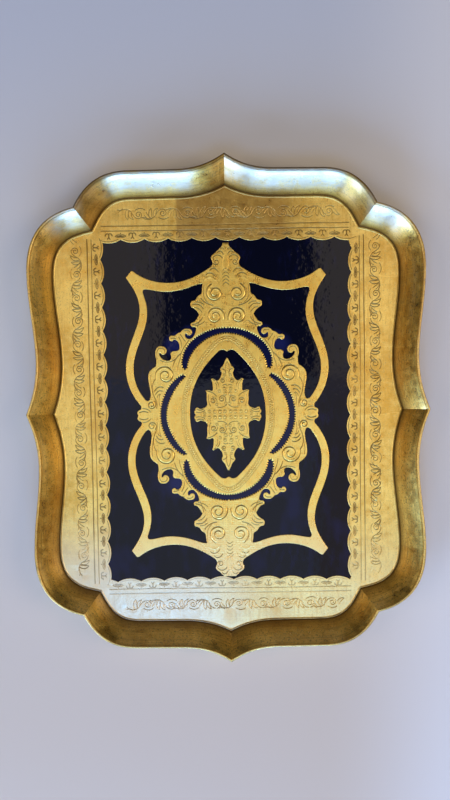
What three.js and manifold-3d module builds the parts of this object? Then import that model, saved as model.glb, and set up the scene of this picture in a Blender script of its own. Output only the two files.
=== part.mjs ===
// Gilt-wood serving tray: a flat board with a flared rim of eight ogee rails mitred at four
// outward cusps and four inward notches, a lacquered panel, and raised gilt ornament.
// Millimetres, +Z up. The origin is under the centre of the board, +Y is the tray's length.
import * as THREE from "three";
import { mergeVertices } from "three/addons/utils/BufferGeometryUtils.js";
import Module from "manifold-3d";

// ---- driving dimensions -------------------------------------------------------------------
const HALF_LENGTH = 280; // centre to the cusp at each end
const HALF_WIDTH = 222.4; // centre to the cusp at each side
const HEIGHT = 38; // underside to the top of the lip
const BOARD_THICKNESS = 5;
const GROUND_THICKNESS = 0.9; // gesso and lacquer on the board
const RELIEF_THICKNESS = 0.5; // raised gilt ornament on the ground

const FOOT_SETBACK = 7.5; // lip edge to the rail's outer foot, in plan
const BOARD_SETBACK = 8.5; // lip edge to the board's edge
const WALL_RUN = 21.5; // lip edge to the crease between wall and floor
const LIP_WIDTH = 3.3;
const MITRE_GAP = 0.3; // glue line between neighbouring rails
const FIT_GAP = 0.3; // clearance where one piece is nested in another

const HEAD_STATIONS = 20; // sections along an end rail
const SIDE_STATIONS = 26; // sections along a side rail

const PIN_SETBACK = 12.5; // lip edge to the panel pins
const PIN_PLACES = [0.27, 0.74]; // fractions along each rail, from cusp to notch
const PIN_RADIUS = 0.8;
const PIN_HEAD_RADIUS = 1.5;
const PIN_HEAD_BOTTOM = 0.2;
const PIN_HEAD_TOP = 1;
const PIN_TAPER = 2;
const PIN_TIP = 11.5;
const PIN_SIDES = 8;

const SCALLOP_PITCH = 26.8; // one lobe of the border's inner edge
const SCALLOP_DEPTH = 3.8;
const SCALLOP_STEPS = 4; // chords in one lobe
// The line of the cusps between lobes: its distance from the centre, the place of one cusp, and
// how the hand-laid line leans and bows, in millimetres at BOW_SPAN from its middle.
const BOW_SPAN = 200;
const PANEL_TOP = { reach: 196.7, cusp: 16, lean: -0.5, bow: -3 };
const PANEL_BOTTOM = { reach: 193.8, cusp: 4, lean: 0.1, bow: 3.5 };
const PANEL_LEFT = { reach: 140.3, cusp: 13.3, lean: 0.35, bow: 1.4 };
const PANEL_RIGHT = { reach: 139.6, cusp: -5.2, lean: 1.5, bow: 1.8 };

const ORNAMENT_Y = -2.9; // centre of the cartouche, a little below the tray's centre
const FINIAL_LOW_END = 187.3; // the lower finial is cut short here, clear of the border

// ---- outlines, one quarter each -----------------------------------------------------------
// A path is a start point and steps: two numbers draw a line to a point, four a quadratic
// curve (control, end) and six a cubic curve (two controls, end).

const HEAD_RAIL = {
  start: [0, HALF_LENGTH],
  steps: [
    [16, 269.5, 30, 263.7, 54, 263.5],
    [104, 263],
    [132, 263, 151, 252, 165, 225],
  ],
};
const SIDE_RAIL = {
  start: [HALF_WIDTH, 0],
  steps: [
    [216, 16, 210.5, 32, 210, 57],
    [210, 90, 217.5, 120, 217.5, 155],
    [217.5, 190, 203, 216, 165, 225],
  ],
};

// Outer edge of the cartouche and its straps, from the top finial to the side finial.
const CARTOUCHE_EDGE = {
  start: [3.2, 193.4],
  steps: [
    [4.0, 188.5, 7.0, 187.3],
    [7.6, 185.6, 9.6, 185.0],
    [11.0, 182.5, 13.5, 181.3],
    [17.4, 178.5, 16.2, 175.3],
    [13.2, 171.0, 17.0, 166.8],
    [29.0, 159.0, 44.0, 149.7, 64.0, 149.7],
    [80.0, 149.7, 94.0, 154.5, 104.8, 163.2],
    [107.3, 163.6],
    [113.2, 156.2],
    [105.5, 145.5, 98.3, 134.0, 98.3, 121.0],
    [98.3, 98.0, 115.3, 80.0, 115.3, 53.0],
    [115.3, 36.0, 108.0, 21.0, 99.0, 11.0],
    [98.0, 8.5, 99.8, 6.6],
    [105.0, 5.4, 102.4, 0.0],
  ],
};

// Opening between a strap and the cartouche, with two hooked volutes.
const STRAP_OPENING = {
  start: [26.3, 148.3],
  steps: [
    [36.0, 148.3, 46.0, 139.8, 68.0, 139.8],
    [78.0, 139.8, 85.0, 142.8, 92.3, 142.9],
    [95.3, 142.5, 94.3, 138.5],
    [91.5, 131.0, 90.0, 125.0, 90.0, 117.5],
    [90.0, 94.0, 106.8, 76.0, 106.8, 53.0],
    [106.8, 38.0, 101.0, 27.0, 94.5, 18.5],
    [89.0, 13.0, 87.5, 23.0],
    [87.7, 31.0, 90.6, 36.0, 90.0, 45.0],
    [89.5, 50.5, 85.5, 53.5, 81.5, 55.7],
    [80.2, 58.0, 80.5, 64.0],
    [82.5, 70.0, 82.0, 78.5, 75.7, 78.6],
    [70.5, 78.6, 68.0, 75.5, 68.6, 72.8],
    [69.2, 69.5, 73.0, 67.2, 75.0, 70.0],
    [76.2, 72.0, 77.2, 70.4],
    [77.3, 66.5, 72.5, 62.0, 67.5, 62.0],
    [64.5, 62.0, 62.6, 64.5, 64.0, 68.5],
    [64.8, 71.6, 61.0, 72.8],
    [56.5, 72.6, 53.6, 73.0, 53.8, 78.0],
    [54.0, 83.5, 57.5, 86.3, 60.7, 85.6],
    [61.4, 83.6, 63.3, 84.0],
    [66.5, 85.2, 66.5, 90.6, 62.2, 90.4],
    [58.8, 89.6, 57.3, 91.6],
    [55.5, 93.6, 52.3, 94.0],
    [49.8, 97.2, 48.0, 98.2, 45.0, 98.0],
    [41.0, 98.2, 38.8, 96.0, 39.4, 93.2],
    [40.0, 90.0, 43.5, 89.6, 45.0, 91.8],
    [46.2, 93.6, 47.2, 91.8],
    [48.2, 87.6, 44.5, 86.0, 42.0, 86.2],
    [38.5, 86.6, 35.2, 92.0, 34.4, 98.0],
    [35.2, 100.2, 38.3, 99.6],
    [41.4, 100.6, 41.4, 104.4, 38.3, 104.9],
    [34.8, 105.6, 33.0, 110.5, 30.9, 113.4],
    [31.6, 116.6, 35.5, 120.2, 39.0, 121.8],
    [41.2, 123.4, 40.8, 127.6, 39.4, 128.8],
    [35.2, 129.2, 33.8, 131.5],
    [31.8, 135.4, 29.4, 135.9],
    [27.2, 137.0, 27.3, 140.0, 27.3, 143.0],
  ],
};

// Almond opening round the medallion, from its side to the small tooth at its end.
const ALMOND_OPENING = {
  start: [43.3, 0],
  steps: [
    [43.5, 28.0, 33.0, 50.0, 11.0, 70.5],
    [8.0, 74.0, 3.5, 73.4],
    [0, 71.6],
  ],
};

// Crescents beside the almond ring: half of each, out along one edge and back along the other.
const END_CRESCENT = {
  start: [0, 97.9],
  steps: [
    [24.0, 98.2, 51.0, 83.0, 50.9, 58.0],
    [50.6, 53.2, 48.0, 52.6],
    [46.6, 52.4, 46.0, 54.5],
    [43.0, 78.0, 19.0, 93.3, 0, 93.1],
  ],
};
const SIDE_CRESCENT = {
  start: [76.4, 0],
  steps: [
    [76.4, 20.0, 64.0, 41.0, 49.6, 45.5],
    [48.6, 45.0, 48.9, 43.6],
    [62.0, 31.0, 70.6, 14.0, 70.6, 0],
  ],
};

// Medallion inside the almond, from its end to its side.
const MEDALLION_EDGE = {
  start: [0, 64.6],
  steps: [
    [1.8, 62.5, 3.0, 59.5],
    [4.0, 56.5, 5.6, 54.6],
    [8.8, 52.4, 7.0, 49.0],
    [5.6, 47.6, 7.2, 44.0],
    [9.0, 38.8, 12.4, 38.3],
    [14.6, 40.4, 17.0, 41.1],
    [19.4, 40.6, 17.6, 38.2],
    [16.4, 34.0, 16.7, 28.4],
    [17.0, 26.4, 19.4, 27.4],
    [22.5, 28.6, 24.8, 27.2],
    [23.4, 24.0, 23.8, 19.0],
    [24.0, 16.0, 23.2, 12.6],
    [23.8, 8.2, 28.0, 7.6],
    [30.5, 6.0, 32.6, 7.2],
    [35.4, 9.4, 37.0, 7.0],
    [36.6, 5.6, 37.9, 4.6],
    [38.8, 2.0, 36.6, 0],
  ],
};

// ---- rail section: u runs inwards from the lip edge, z up ---------------------------------
const FLOOR_Z = BOARD_THICKNESS + GROUND_THICKNESS + RELIEF_THICKNESS;
const LIP_SIDE_Z = HEIGHT - LIP_WIDTH / 2;

function railSection() {
  const section = new THREE.Shape();
  section.moveTo(FOOT_SETBACK, BOARD_THICKNESS);
  section.lineTo(WALL_RUN, BOARD_THICKNESS);
  section.lineTo(WALL_RUN, FLOOR_Z);
  section.quadraticCurveTo(15.6, 24, LIP_WIDTH, LIP_SIDE_Z); // wall, flaring out to the lip
  section.absarc(LIP_WIDTH / 2, LIP_SIDE_Z, LIP_WIDTH / 2, 0, Math.PI, false);
  section.quadraticCurveTo(6.8, 20, FOOT_SETBACK, BOARD_THICKNESS); // outer face
  return section.getPoints(4).slice(0, -1); // the last point repeats the first
}

// ---- helpers ------------------------------------------------------------------------------
function tracePath({ start, steps }) {
  const path = new THREE.Path();
  path.moveTo(...start);
  for (const step of steps) {
    if (step.length === 2) path.lineTo(...step);
    if (step.length === 4) path.quadraticCurveTo(...step);
    if (step.length === 6) path.bezierCurveTo(...step);
  }
  return path;
}

function pathPoints(path, divisions) {
  const points = [];
  for (const curve of tracePath(path).curves) {
    const count = curve.isLineCurve ? 1 : curve.isQuadraticBezierCurve ? 2 : divisions;
    const drawn = curve.getPoints(count);
    points.push(...(points.length ? drawn.slice(1) : drawn));
  }
  return points;
}

const flip = (points, sx, sy) => points.map((p) => new THREE.Vector2(p.x * sx, p.y * sy));

// A loop without repeated points or points in line with their neighbours.
function cleanLoop(loop) {
  const apart = loop.filter((p, i) => p.distanceTo(loop[(i + 1) % loop.length]) > 1e-3);
  return apart.filter((p, i) => {
    const before = apart[(i + apart.length - 1) % apart.length];
    const after = apart[(i + 1) % apart.length];
    const turn = p.clone().sub(before).cross(after.clone().sub(p));
    return Math.abs(turn) > 1e-3;
  });
}

// A quarter outline running clockwise from the +Y axis to the +X axis, mirrored all round.
function mirrorAllRound(quarter) {
  const back = [...quarter].reverse();
  return cleanLoop([
    ...quarter,
    ...flip(back, 1, -1),
    ...flip(quarter, -1, -1),
    ...flip(back, -1, 1),
  ]);
}

const moved = (points, y) => points.map((p) => new THREE.Vector2(p.x, p.y + y));

const turnedTo = (points, clockwise) =>
  THREE.ShapeUtils.isClockWise(points) === clockwise ? points : [...points].reverse();

function slab(outline, holes, bottom, thickness) {
  const shape = new THREE.Shape(turnedTo(outline, false));
  shape.holes = holes.map((points) => new THREE.Path(turnedTo(points, true)));
  const geometry = new THREE.ExtrudeGeometry(shape, { depth: thickness, bevelEnabled: false });
  return geometry.translate(0, 0, bottom);
}

const wasm = await Module();
wasm.setup();

function toSolid(geometry) {
  const bare = new THREE.BufferGeometry();
  bare.setAttribute("position", geometry.getAttribute("position"));
  bare.setIndex(geometry.getIndex());
  const merged = mergeVertices(bare, 1e-4);
  const mesh = new wasm.Mesh({
    numProp: 3,
    vertProperties: new Float32Array(merged.attributes.position.array),
    triVerts: new Uint32Array(merged.index.array),
  });
  return new wasm.Manifold(mesh);
}

function toGeometry(solid) {
  const mesh = solid.getMesh();
  const geometry = new THREE.BufferGeometry();
  geometry.setAttribute("position", new THREE.BufferAttribute(mesh.vertProperties, 3));
  geometry.setIndex(new THREE.BufferAttribute(mesh.triVerts, 1));
  geometry.computeVertexNormals();
  return geometry;
}

function cutAway(geometry, tools) {
  let solid = toSolid(geometry);
  for (const tool of tools) solid = solid.subtract(toSolid(tool));
  return toGeometry(solid);
}

// ---- rim curves ---------------------------------------------------------------------------
// Each rail's lip edge runs from a cusp on an axis to the notch, and past it in a straight line.
const NOTCH = new THREE.Vector2(165, 225);

function rimCurve(path, inwardSide) {
  const curve = tracePath(path);
  const length = curve.getLength();
  const endTangent = curve.getTangent(1);
  return {
    at(place, inset) {
      const along = Math.min(place, 1);
      const point = curve.getPoint(along);
      const tangent = place < 1 ? curve.getTangent(along) : endTangent;
      point.addScaledVector(endTangent, (place - along) * length);
      const inward = new THREE.Vector2(tangent.y, -tangent.x).multiplyScalar(inwardSide);
      return point.addScaledVector(inward, inset);
    },
    endInward: new THREE.Vector2(endTangent.y, -endTangent.x).multiplyScalar(inwardSide),
  };
}

const headCurve = rimCurve(HEAD_RAIL, 1);
const sideCurve = rimCurve(SIDE_RAIL, -1);
const notchInward = headCurve.endInward.clone().add(sideCurve.endInward).normalize();

// Distance from a point to the mitre plane at the notch, positive on the side rail's side.
function pastNotch(point) {
  const offset = point.clone().sub(NOTCH);
  return offset.y * notchInward.x - offset.x * notchInward.y;
}

function solvePlace(distance, low, high) {
  for (let i = 0; i < 40; i++) {
    const middle = (low + high) / 2;
    if (distance(middle) < 0) low = middle;
    else high = middle;
  }
  return (low + high) / 2;
}

const RAILS = {
  head: {
    curve: headCurve,
    stations: HEAD_STATIONS,
    pastCusp: (p) => p.x,
    beforeNotch: (p) => -pastNotch(p),
  },
  side: {
    curve: sideCurve,
    stations: SIDE_STATIONS,
    pastCusp: (p) => p.y,
    beforeNotch: (p) => pastNotch(p),
  },
};

// The line at one inset from the lip edge, trimmed to the mitres with half a gap at each.
function railLine(rail, inset, halfGap) {
  const at = (place) => rail.curve.at(place, inset);
  const first = solvePlace((place) => rail.pastCusp(at(place)) - halfGap, 0, 0.3);
  const last = solvePlace((place) => halfGap - rail.beforeNotch(at(place)), 0.7, 1.3);
  const points = [];
  for (let i = 0; i <= rail.stations; i++) {
    points.push(at(first + ((last - first) * i) / rail.stations));
  }
  return points;
}

function trayOutline(inset) {
  const head = railLine(RAILS.head, inset, 0);
  const side = railLine(RAILS.side, inset, 0).reverse();
  return mirrorAllRound([...head, ...side.slice(1)]);
}

// ---- rails --------------------------------------------------------------------------------
function sweepRail(rail) {
  const section = railSection();
  const lines = section.map((p) => railLine(rail, p.x, MITRE_GAP / 2));
  const rows = rail.stations + 1;
  const positions = [];
  lines.forEach((line, k) => line.forEach((p) => positions.push(p.x, p.y, section[k].y)));
  const index = [];
  section.forEach((_, k) => {
    const a = k * rows;
    const b = ((k + 1) % section.length) * rows;
    for (let i = 0; i < rail.stations; i++) {
      index.push(a + i, a + i + 1, b + i + 1, a + i, b + i + 1, b + i);
    }
  });
  for (const [i, j, k] of THREE.ShapeUtils.triangulateShape(section, [])) {
    index.push(i * rows, j * rows, k * rows);
    const end = rail.stations;
    index.push(i * rows + end, k * rows + end, j * rows + end);
  }
  const geometry = new THREE.BufferGeometry();
  geometry.setAttribute("position", new THREE.Float32BufferAttribute(positions, 3));
  const inwards = enclosedVolume(geometry, index) < 0;
  for (let i = 0; inwards && i < index.length; i += 3) {
    [index[i], index[i + 1]] = [index[i + 1], index[i]];
  }
  geometry.setIndex(index);
  return geometry;
}

function enclosedVolume(geometry, index) {
  const position = geometry.getAttribute("position");
  const corner = index.map((i) => new THREE.Vector3().fromBufferAttribute(position, i));
  let volume = 0;
  for (let i = 0; i < corner.length; i += 3) {
    volume += corner[i].dot(corner[i + 1].clone().cross(corner[i + 2])) / 6;
  }
  return volume;
}

// ---- panel pins ---------------------------------------------------------------------------
function turned(profile) {
  const points = profile.map(([r, z]) => new THREE.Vector2(r, z));
  return new THREE.LatheGeometry(points, PIN_SIDES).rotateX(Math.PI / 2);
}

function pinBlank(grow) {
  return turned([
    [0, PIN_HEAD_BOTTOM - grow * 4],
    [PIN_HEAD_RADIUS + grow, PIN_HEAD_BOTTOM - grow * 4],
    [PIN_HEAD_RADIUS + grow, PIN_HEAD_TOP + grow],
    [PIN_RADIUS + grow, PIN_HEAD_TOP + grow],
    [PIN_RADIUS + grow, PIN_TIP - PIN_TAPER + grow],
    [0, PIN_TIP + grow],
  ]);
}

const pinSpots = (rail) => PIN_PLACES.map((place) => rail.curve.at(place, PIN_SETBACK));

const QUARTERS = [
  { name: "top_right", sx: 1, sy: 1 },
  { name: "bottom_right", sx: 1, sy: -1 },
  { name: "bottom_left", sx: -1, sy: -1 },
  { name: "top_left", sx: -1, sy: 1 },
];

// ---- scalloped panel edge -----------------------------------------------------------------
const LOBE_RADIUS = (SCALLOP_PITCH ** 2 / 4 + SCALLOP_DEPTH ** 2) / (2 * SCALLOP_DEPTH);

// Reach of the lacquered panel at a place along one side: full at a cusp, less at each lobe.
function panelReach(side, place) {
  const cell = (place - side.cusp) / SCALLOP_PITCH;
  const fromMiddle = (cell - Math.floor(cell) - 0.5) * SCALLOP_PITCH;
  const rise = Math.sqrt(LOBE_RADIUS ** 2 - fromMiddle ** 2) - (LOBE_RADIUS - SCALLOP_DEPTH);
  const span = place / BOW_SPAN;
  return side.reach + side.lean * span + side.bow * span ** 2 - rise;
}

// Where two sides of the panel meet, as distances from the centre.
function panelCorner(endSide, sx, flankSide, sy) {
  let x = flankSide.reach;
  let y = endSide.reach;
  for (let i = 0; i < 30; i++) {
    x = panelReach(flankSide, sy * y);
    y = panelReach(endSide, sx * x);
  }
  return { x: sx * x, y: sy * y };
}

// Places along one side between two corners, with every cusp and the chords of each lobe.
function sidePlaces(side, from, to) {
  const step = SCALLOP_PITCH / SCALLOP_STEPS;
  const first = Math.ceil((from + 1 - side.cusp) / step);
  const last = Math.floor((to - 1 - side.cusp) / step);
  const places = [from];
  for (let i = first; i <= last; i++) places.push(side.cusp + i * step);
  return [...places, to];
}

function panelOutline() {
  const topRight = panelCorner(PANEL_TOP, 1, PANEL_RIGHT, 1);
  const bottomRight = panelCorner(PANEL_BOTTOM, 1, PANEL_RIGHT, -1);
  const bottomLeft = panelCorner(PANEL_BOTTOM, -1, PANEL_LEFT, -1);
  const topLeft = panelCorner(PANEL_TOP, -1, PANEL_LEFT, 1);
  const along = (side, from, to, place) =>
    sidePlaces(side, from, to).map((t) => new THREE.Vector2(...place(t)));
  const top = along(PANEL_TOP, topLeft.x, topRight.x, (t) => [t, panelReach(PANEL_TOP, t)]);
  const right = along(PANEL_RIGHT, bottomRight.y, topRight.y, (t) => [
    panelReach(PANEL_RIGHT, t),
    t,
  ]);
  const bottom = along(PANEL_BOTTOM, bottomLeft.x, bottomRight.x, (t) => [
    t,
    -panelReach(PANEL_BOTTOM, t),
  ]);
  const left = along(PANEL_LEFT, bottomLeft.y, topLeft.y, (t) => [
    -panelReach(PANEL_LEFT, t),
    t,
  ]);
  return cleanLoop([...top, ...right.reverse(), ...bottom.reverse(), ...left]);
}

// ---- reliefs ------------------------------------------------------------------------------
const GROUND_TOP = BOARD_THICKNESS + GROUND_THICKNESS;
const CUBIC_STEPS = 4;

function cartoucheRelief() {
  const edge = mirrorAllRound(pathPoints(CARTOUCHE_EDGE, CUBIC_STEPS));
  edge.forEach((p) => (p.y = Math.max(p.y, -FINIAL_LOW_END)));
  const opening = pathPoints(STRAP_OPENING, CUBIC_STEPS);
  const almond = pathPoints(ALMOND_OPENING, 6).reverse();
  const endHalf = pathPoints(END_CRESCENT, CUBIC_STEPS);
  const sideHalf = pathPoints(SIDE_CRESCENT, CUBIC_STEPS);
  const endWhole = [...endHalf, ...flip([...endHalf].reverse(), -1, 1).slice(1, -1)];
  const sideWhole = [...sideHalf, ...flip([...sideHalf].reverse(), 1, -1).slice(1, -1)];
  const holes = [
    ...QUARTERS.map(({ sx, sy }) => flip(opening, sx, sy)),
    mirrorAllRound(almond),
    endWhole,
    flip(endWhole, 1, -1),
    sideWhole,
    flip(sideWhole, -1, 1),
  ];
  const shift = (points) => moved(points, ORNAMENT_Y);
  return slab(shift(edge), holes.map(shift), GROUND_TOP, RELIEF_THICKNESS);
}

function medallionRelief() {
  const edge = mirrorAllRound(pathPoints(MEDALLION_EDGE, CUBIC_STEPS));
  return slab(moved(edge, ORNAMENT_Y), [], GROUND_TOP, RELIEF_THICKNESS);
}

// ---- materials ----------------------------------------------------------------------------
const finish = (color, roughness, metalness) =>
  new THREE.MeshStandardMaterial({ color, roughness, metalness });
const GILT_WOOD = () => finish(0xb98a3a, 0.35, 0.9);
const GILT_RELIEF = () => finish(0xe2bb63, 0.35, 0.9);
const LACQUER = () => finish(0x0b0c24, 0.12, 0);
const BOARD = () => finish(0x8d7350, 0.65, 0);
const STEEL = () => finish(0x8f8f8c, 0.4, 1);

// ---- assembly -----------------------------------------------------------------------------
const tray = new THREE.Group();
tray.name = "tray";

function addPart(name, geometry, material) {
  const mesh = new THREE.Mesh(geometry, material);
  mesh.name = name;
  tray.add(mesh);
  return mesh;
}

const spots = [...pinSpots(RAILS.head), ...pinSpots(RAILS.side)];
const pinHoles = spots.map((p) => pinBlank(FIT_GAP).translate(p.x, p.y, 0));
const allPinHoles = QUARTERS.flatMap(({ sx, sy }) =>
  spots.map((p) => pinBlank(FIT_GAP).translate(p.x * sx, p.y * sy, 0)),
);

const board = slab(trayOutline(BOARD_SETBACK), [], 0, BOARD_THICKNESS);
addPart("base_board", cutAway(board, allPinHoles), BOARD());

const railGeometry = {
  head: cutAway(sweepRail(RAILS.head), pinHoles.slice(0, PIN_PLACES.length)),
  side: cutAway(sweepRail(RAILS.side), pinHoles.slice(PIN_PLACES.length)),
};
for (const { name, sx, sy } of QUARTERS) {
  for (const kind of ["head", "side"]) {
    const rail = addPart(`rim_${kind}_${name}`, railGeometry[kind], GILT_WOOD());
    rail.scale.set(sx, sy, 1);
  }
  spots.forEach((p, i) => {
    const pin = addPart(`panel_pin_${name}_${i + 1}`, pinBlank(0), STEEL());
    pin.position.set(p.x * sx, p.y * sy, 0);
  });
}

const floorOutline = trayOutline(WALL_RUN + FIT_GAP);
addPart("lacquer_ground", slab(floorOutline, [], BOARD_THICKNESS, GROUND_THICKNESS), LACQUER());
addPart(
  "border_relief",
  slab(floorOutline, [panelOutline()], GROUND_TOP, RELIEF_THICKNESS),
  GILT_RELIEF(),
);
addPart("cartouche_relief", cartoucheRelief(), GILT_RELIEF());
addPart("medallion_relief", medallionRelief(), GILT_RELIEF());

export default tray;
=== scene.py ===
"""Looks of a gilt-wood serving tray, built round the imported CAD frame.

The rim rails, the lacquered ground and the gilt reliefs are remade here with their fine shape: the
flared rim section, engraved scrolls, punched bands, embossed volutes and stippled grounds.
"""
import math
import random

import bpy
import numpy as np
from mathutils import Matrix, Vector, noise
from mathutils.geometry import delaunay_2d_cdt
from mathutils.kdtree import KDTree


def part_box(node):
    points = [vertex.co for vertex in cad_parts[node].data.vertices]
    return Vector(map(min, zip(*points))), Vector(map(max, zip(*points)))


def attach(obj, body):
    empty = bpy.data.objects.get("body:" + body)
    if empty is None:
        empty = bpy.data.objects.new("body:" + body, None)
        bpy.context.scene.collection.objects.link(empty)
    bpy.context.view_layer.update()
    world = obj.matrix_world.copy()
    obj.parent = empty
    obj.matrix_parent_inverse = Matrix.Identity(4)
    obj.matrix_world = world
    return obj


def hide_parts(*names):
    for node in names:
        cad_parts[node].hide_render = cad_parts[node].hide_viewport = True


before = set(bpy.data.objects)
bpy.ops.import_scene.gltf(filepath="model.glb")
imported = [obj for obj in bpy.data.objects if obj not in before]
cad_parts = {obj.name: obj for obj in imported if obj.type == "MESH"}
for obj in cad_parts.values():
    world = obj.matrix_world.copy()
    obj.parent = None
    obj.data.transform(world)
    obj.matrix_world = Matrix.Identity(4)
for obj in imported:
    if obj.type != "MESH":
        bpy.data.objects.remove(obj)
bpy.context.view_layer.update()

# ---- sizes, in millimetres -----------------------------------------------------------------
MM = 0.001


def node_level(node, corner):
    """Height of a CAD node's lowest (0) or highest (1) corner, in millimetres."""
    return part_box(node)[corner][2] / MM


BOARD_TOP = node_level("base_board", 1)
GROUND_TOP = node_level("lacquer_ground", 1)
RELIEF_TOP = node_level("border_relief", 1)
RIM_TOP = node_level("rim_head_top_right", 1)

FOOT_SETBACK = 7.5  # lip edge to the rail's outer foot, in plan
WALL_RUN = 21.5  # lip edge to the crease between wall and floor
LIP_WIDTH = 3.3
FLOOR_INSET = WALL_RUN + 0.15  # lip edge to the edge of the floor's gilding

SCALLOP_PITCH = 26.8  # one lobe of the border's inner edge
SCALLOP_DEPTH = 3.8
LOBE_RADIUS = (SCALLOP_PITCH**2 / 4 + SCALLOP_DEPTH**2) / (2 * SCALLOP_DEPTH)
BOW_SPAN = 200.0
# The line of cusps along each side of the panel: reach from the centre, place of one cusp, and
# how the hand-laid line leans and bows at BOW_SPAN from its middle.
PANEL_SIDES = {
    "top": {"reach": 196.7, "cusp": 16.0, "lean": -0.5, "bow": -3.0},
    "bottom": {"reach": 193.8, "cusp": 4.0, "lean": 0.1, "bow": 3.5},
    "left": {"reach": 140.3, "cusp": 13.3, "lean": 0.35, "bow": 1.4},
    "right": {"reach": 139.6, "cusp": -5.2, "lean": 1.5, "bow": 1.8},
}

ORNAMENT_Y = -2.9  # centre of the cartouche
FINIAL_LOW_END = 187.3  # the lower finial stops here, clear of the border

# ---- outlines, one quarter each ------------------------------------------------------------
# A path is a start point and steps: two numbers draw a line to a point, four a quadratic curve
# (control, end) and six a cubic curve (two controls, end).
HEAD_RAIL = ((0, 280), [(16, 269.5, 30, 263.7, 54, 263.5), (104, 263), (132, 263, 151, 252, 165, 225)])
SIDE_RAIL = (
    (222.4, 0),
    [
        (216, 16, 210.5, 32, 210, 57),
        (210, 90, 217.5, 120, 217.5, 155),
        (217.5, 190, 203, 216, 165, 225),
    ],
)
NOTCH = np.array((165, 225))

CARTOUCHE_EDGE = (
    (3.2, 193.4),
    [
        (4, 188.5, 7, 187.3),
        (7.6, 185.6, 9.6, 185),
        (11, 182.5, 13.5, 181.3),
        (17.4, 178.5, 16.2, 175.3),
        (13.2, 171, 17, 166.8),
        (29, 159, 44, 149.7, 64, 149.7),
        (80, 149.7, 94, 154.5, 104.8, 163.2),
        (107.3, 163.6),
        (113.2, 156.2),
        (105.5, 145.5, 98.3, 134, 98.3, 121),
        (98.3, 98, 115.3, 80, 115.3, 53),
        (115.3, 36, 108, 21, 99, 11),
        (98, 8.5, 99.8, 6.6),
        (105, 5.4, 102.4, 0),
    ],
)
STRAP_OPENING = (
    (26.3, 148.3),
    [
        (36, 148.3, 46, 139.8, 68, 139.8),
        (78, 139.8, 85, 142.8, 92.3, 142.9),
        (95.3, 142.5, 94.3, 138.5),
        (91.5, 131, 90, 125, 90, 117.5),
        (90, 94, 106.8, 76, 106.8, 53),
        (106.8, 38, 101, 27, 94.5, 18.5),
        (89, 13, 87.5, 23),
        (87.7, 31, 90.6, 36, 90, 45),
        (89.5, 50.5, 85.5, 53.5, 81.5, 55.7),
        (80.2, 58, 80.5, 64),
        (82.5, 70, 82, 78.5, 75.7, 78.6),
        (70.5, 78.6, 68, 75.5, 68.6, 72.8),
        (69.2, 69.5, 73, 67.2, 75, 70),
        (76.2, 72, 77.2, 70.4),
        (77.3, 66.5, 72.5, 62, 67.5, 62),
        (64.5, 62, 62.6, 64.5, 64, 68.5),
        (64.8, 71.6, 61, 72.8),
        (56.5, 72.6, 53.6, 73, 53.8, 78),
        (54, 83.5, 57.5, 86.3, 60.7, 85.6),
        (61.4, 83.6, 63.3, 84),
        (66.5, 85.2, 66.5, 90.6, 62.2, 90.4),
        (58.8, 89.6, 57.3, 91.6),
        (55.5, 93.6, 52.3, 94),
        (49.8, 97.2, 48, 98.2, 45, 98),
        (41, 98.2, 38.8, 96, 39.4, 93.2),
        (40, 90, 43.5, 89.6, 45, 91.8),
        (46.2, 93.6, 47.2, 91.8),
        (48.2, 87.6, 44.5, 86, 42, 86.2),
        (38.5, 86.6, 35.2, 92, 34.4, 98),
        (35.2, 100.2, 38.3, 99.6),
        (41.4, 100.6, 41.4, 104.4, 38.3, 104.9),
        (34.8, 105.6, 33, 110.5, 30.9, 113.4),
        (31.6, 116.6, 35.5, 120.2, 39, 121.8),
        (41.2, 123.4, 40.8, 127.6, 39.4, 128.8),
        (35.2, 129.2, 33.8, 131.5),
        (31.8, 135.4, 29.4, 135.9),
        (27.2, 137, 27.3, 140, 27.3, 143),
        (26.3, 148.3),
    ],
)
ALMOND_OPENING = ((0, 71.6), [(3.5, 73.4), (8, 74, 11, 70.5), (33, 50, 43.5, 28, 43.3, 0)])
END_CRESCENT = (
    (0, 97.9),
    [
        (24, 98.2, 51, 83, 50.9, 58),
        (50.6, 53.2, 48, 52.6),
        (46.6, 52.4, 46, 54.5),
        (43, 78, 19, 93.3, 0, 93.1),
    ],
)
SIDE_CRESCENT = (
    (76.4, 0),
    [
        (76.4, 20, 64, 41, 49.6, 45.5),
        (48.6, 45, 48.9, 43.6),
        (62, 31, 70.6, 14, 70.6, 0),
    ],
)
MEDALLION_EDGE = (
    (0, 64.6),
    [
        (1.8, 62.5, 3, 59.5),
        (4, 56.5, 5.6, 54.6),
        (8.8, 52.4, 7, 49),
        (5.6, 47.6, 7.2, 44),
        (9, 38.8, 12.4, 38.3),
        (14.6, 40.4, 17, 41.1),
        (19.4, 40.6, 17.6, 38.2),
        (16.4, 34, 16.7, 28.4),
        (17, 26.4, 19.4, 27.4),
        (22.5, 28.6, 24.8, 27.2),
        (23.4, 24, 23.8, 19),
        (24, 16, 23.2, 12.6),
        (23.8, 8.2, 28, 7.6),
        (30.5, 6, 32.6, 7.2),
        (35.4, 9.4, 37, 7),
        (36.6, 5.6, 37.9, 4.6),
        (38.8, 2, 36.6, 0),
    ],
)


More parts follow.
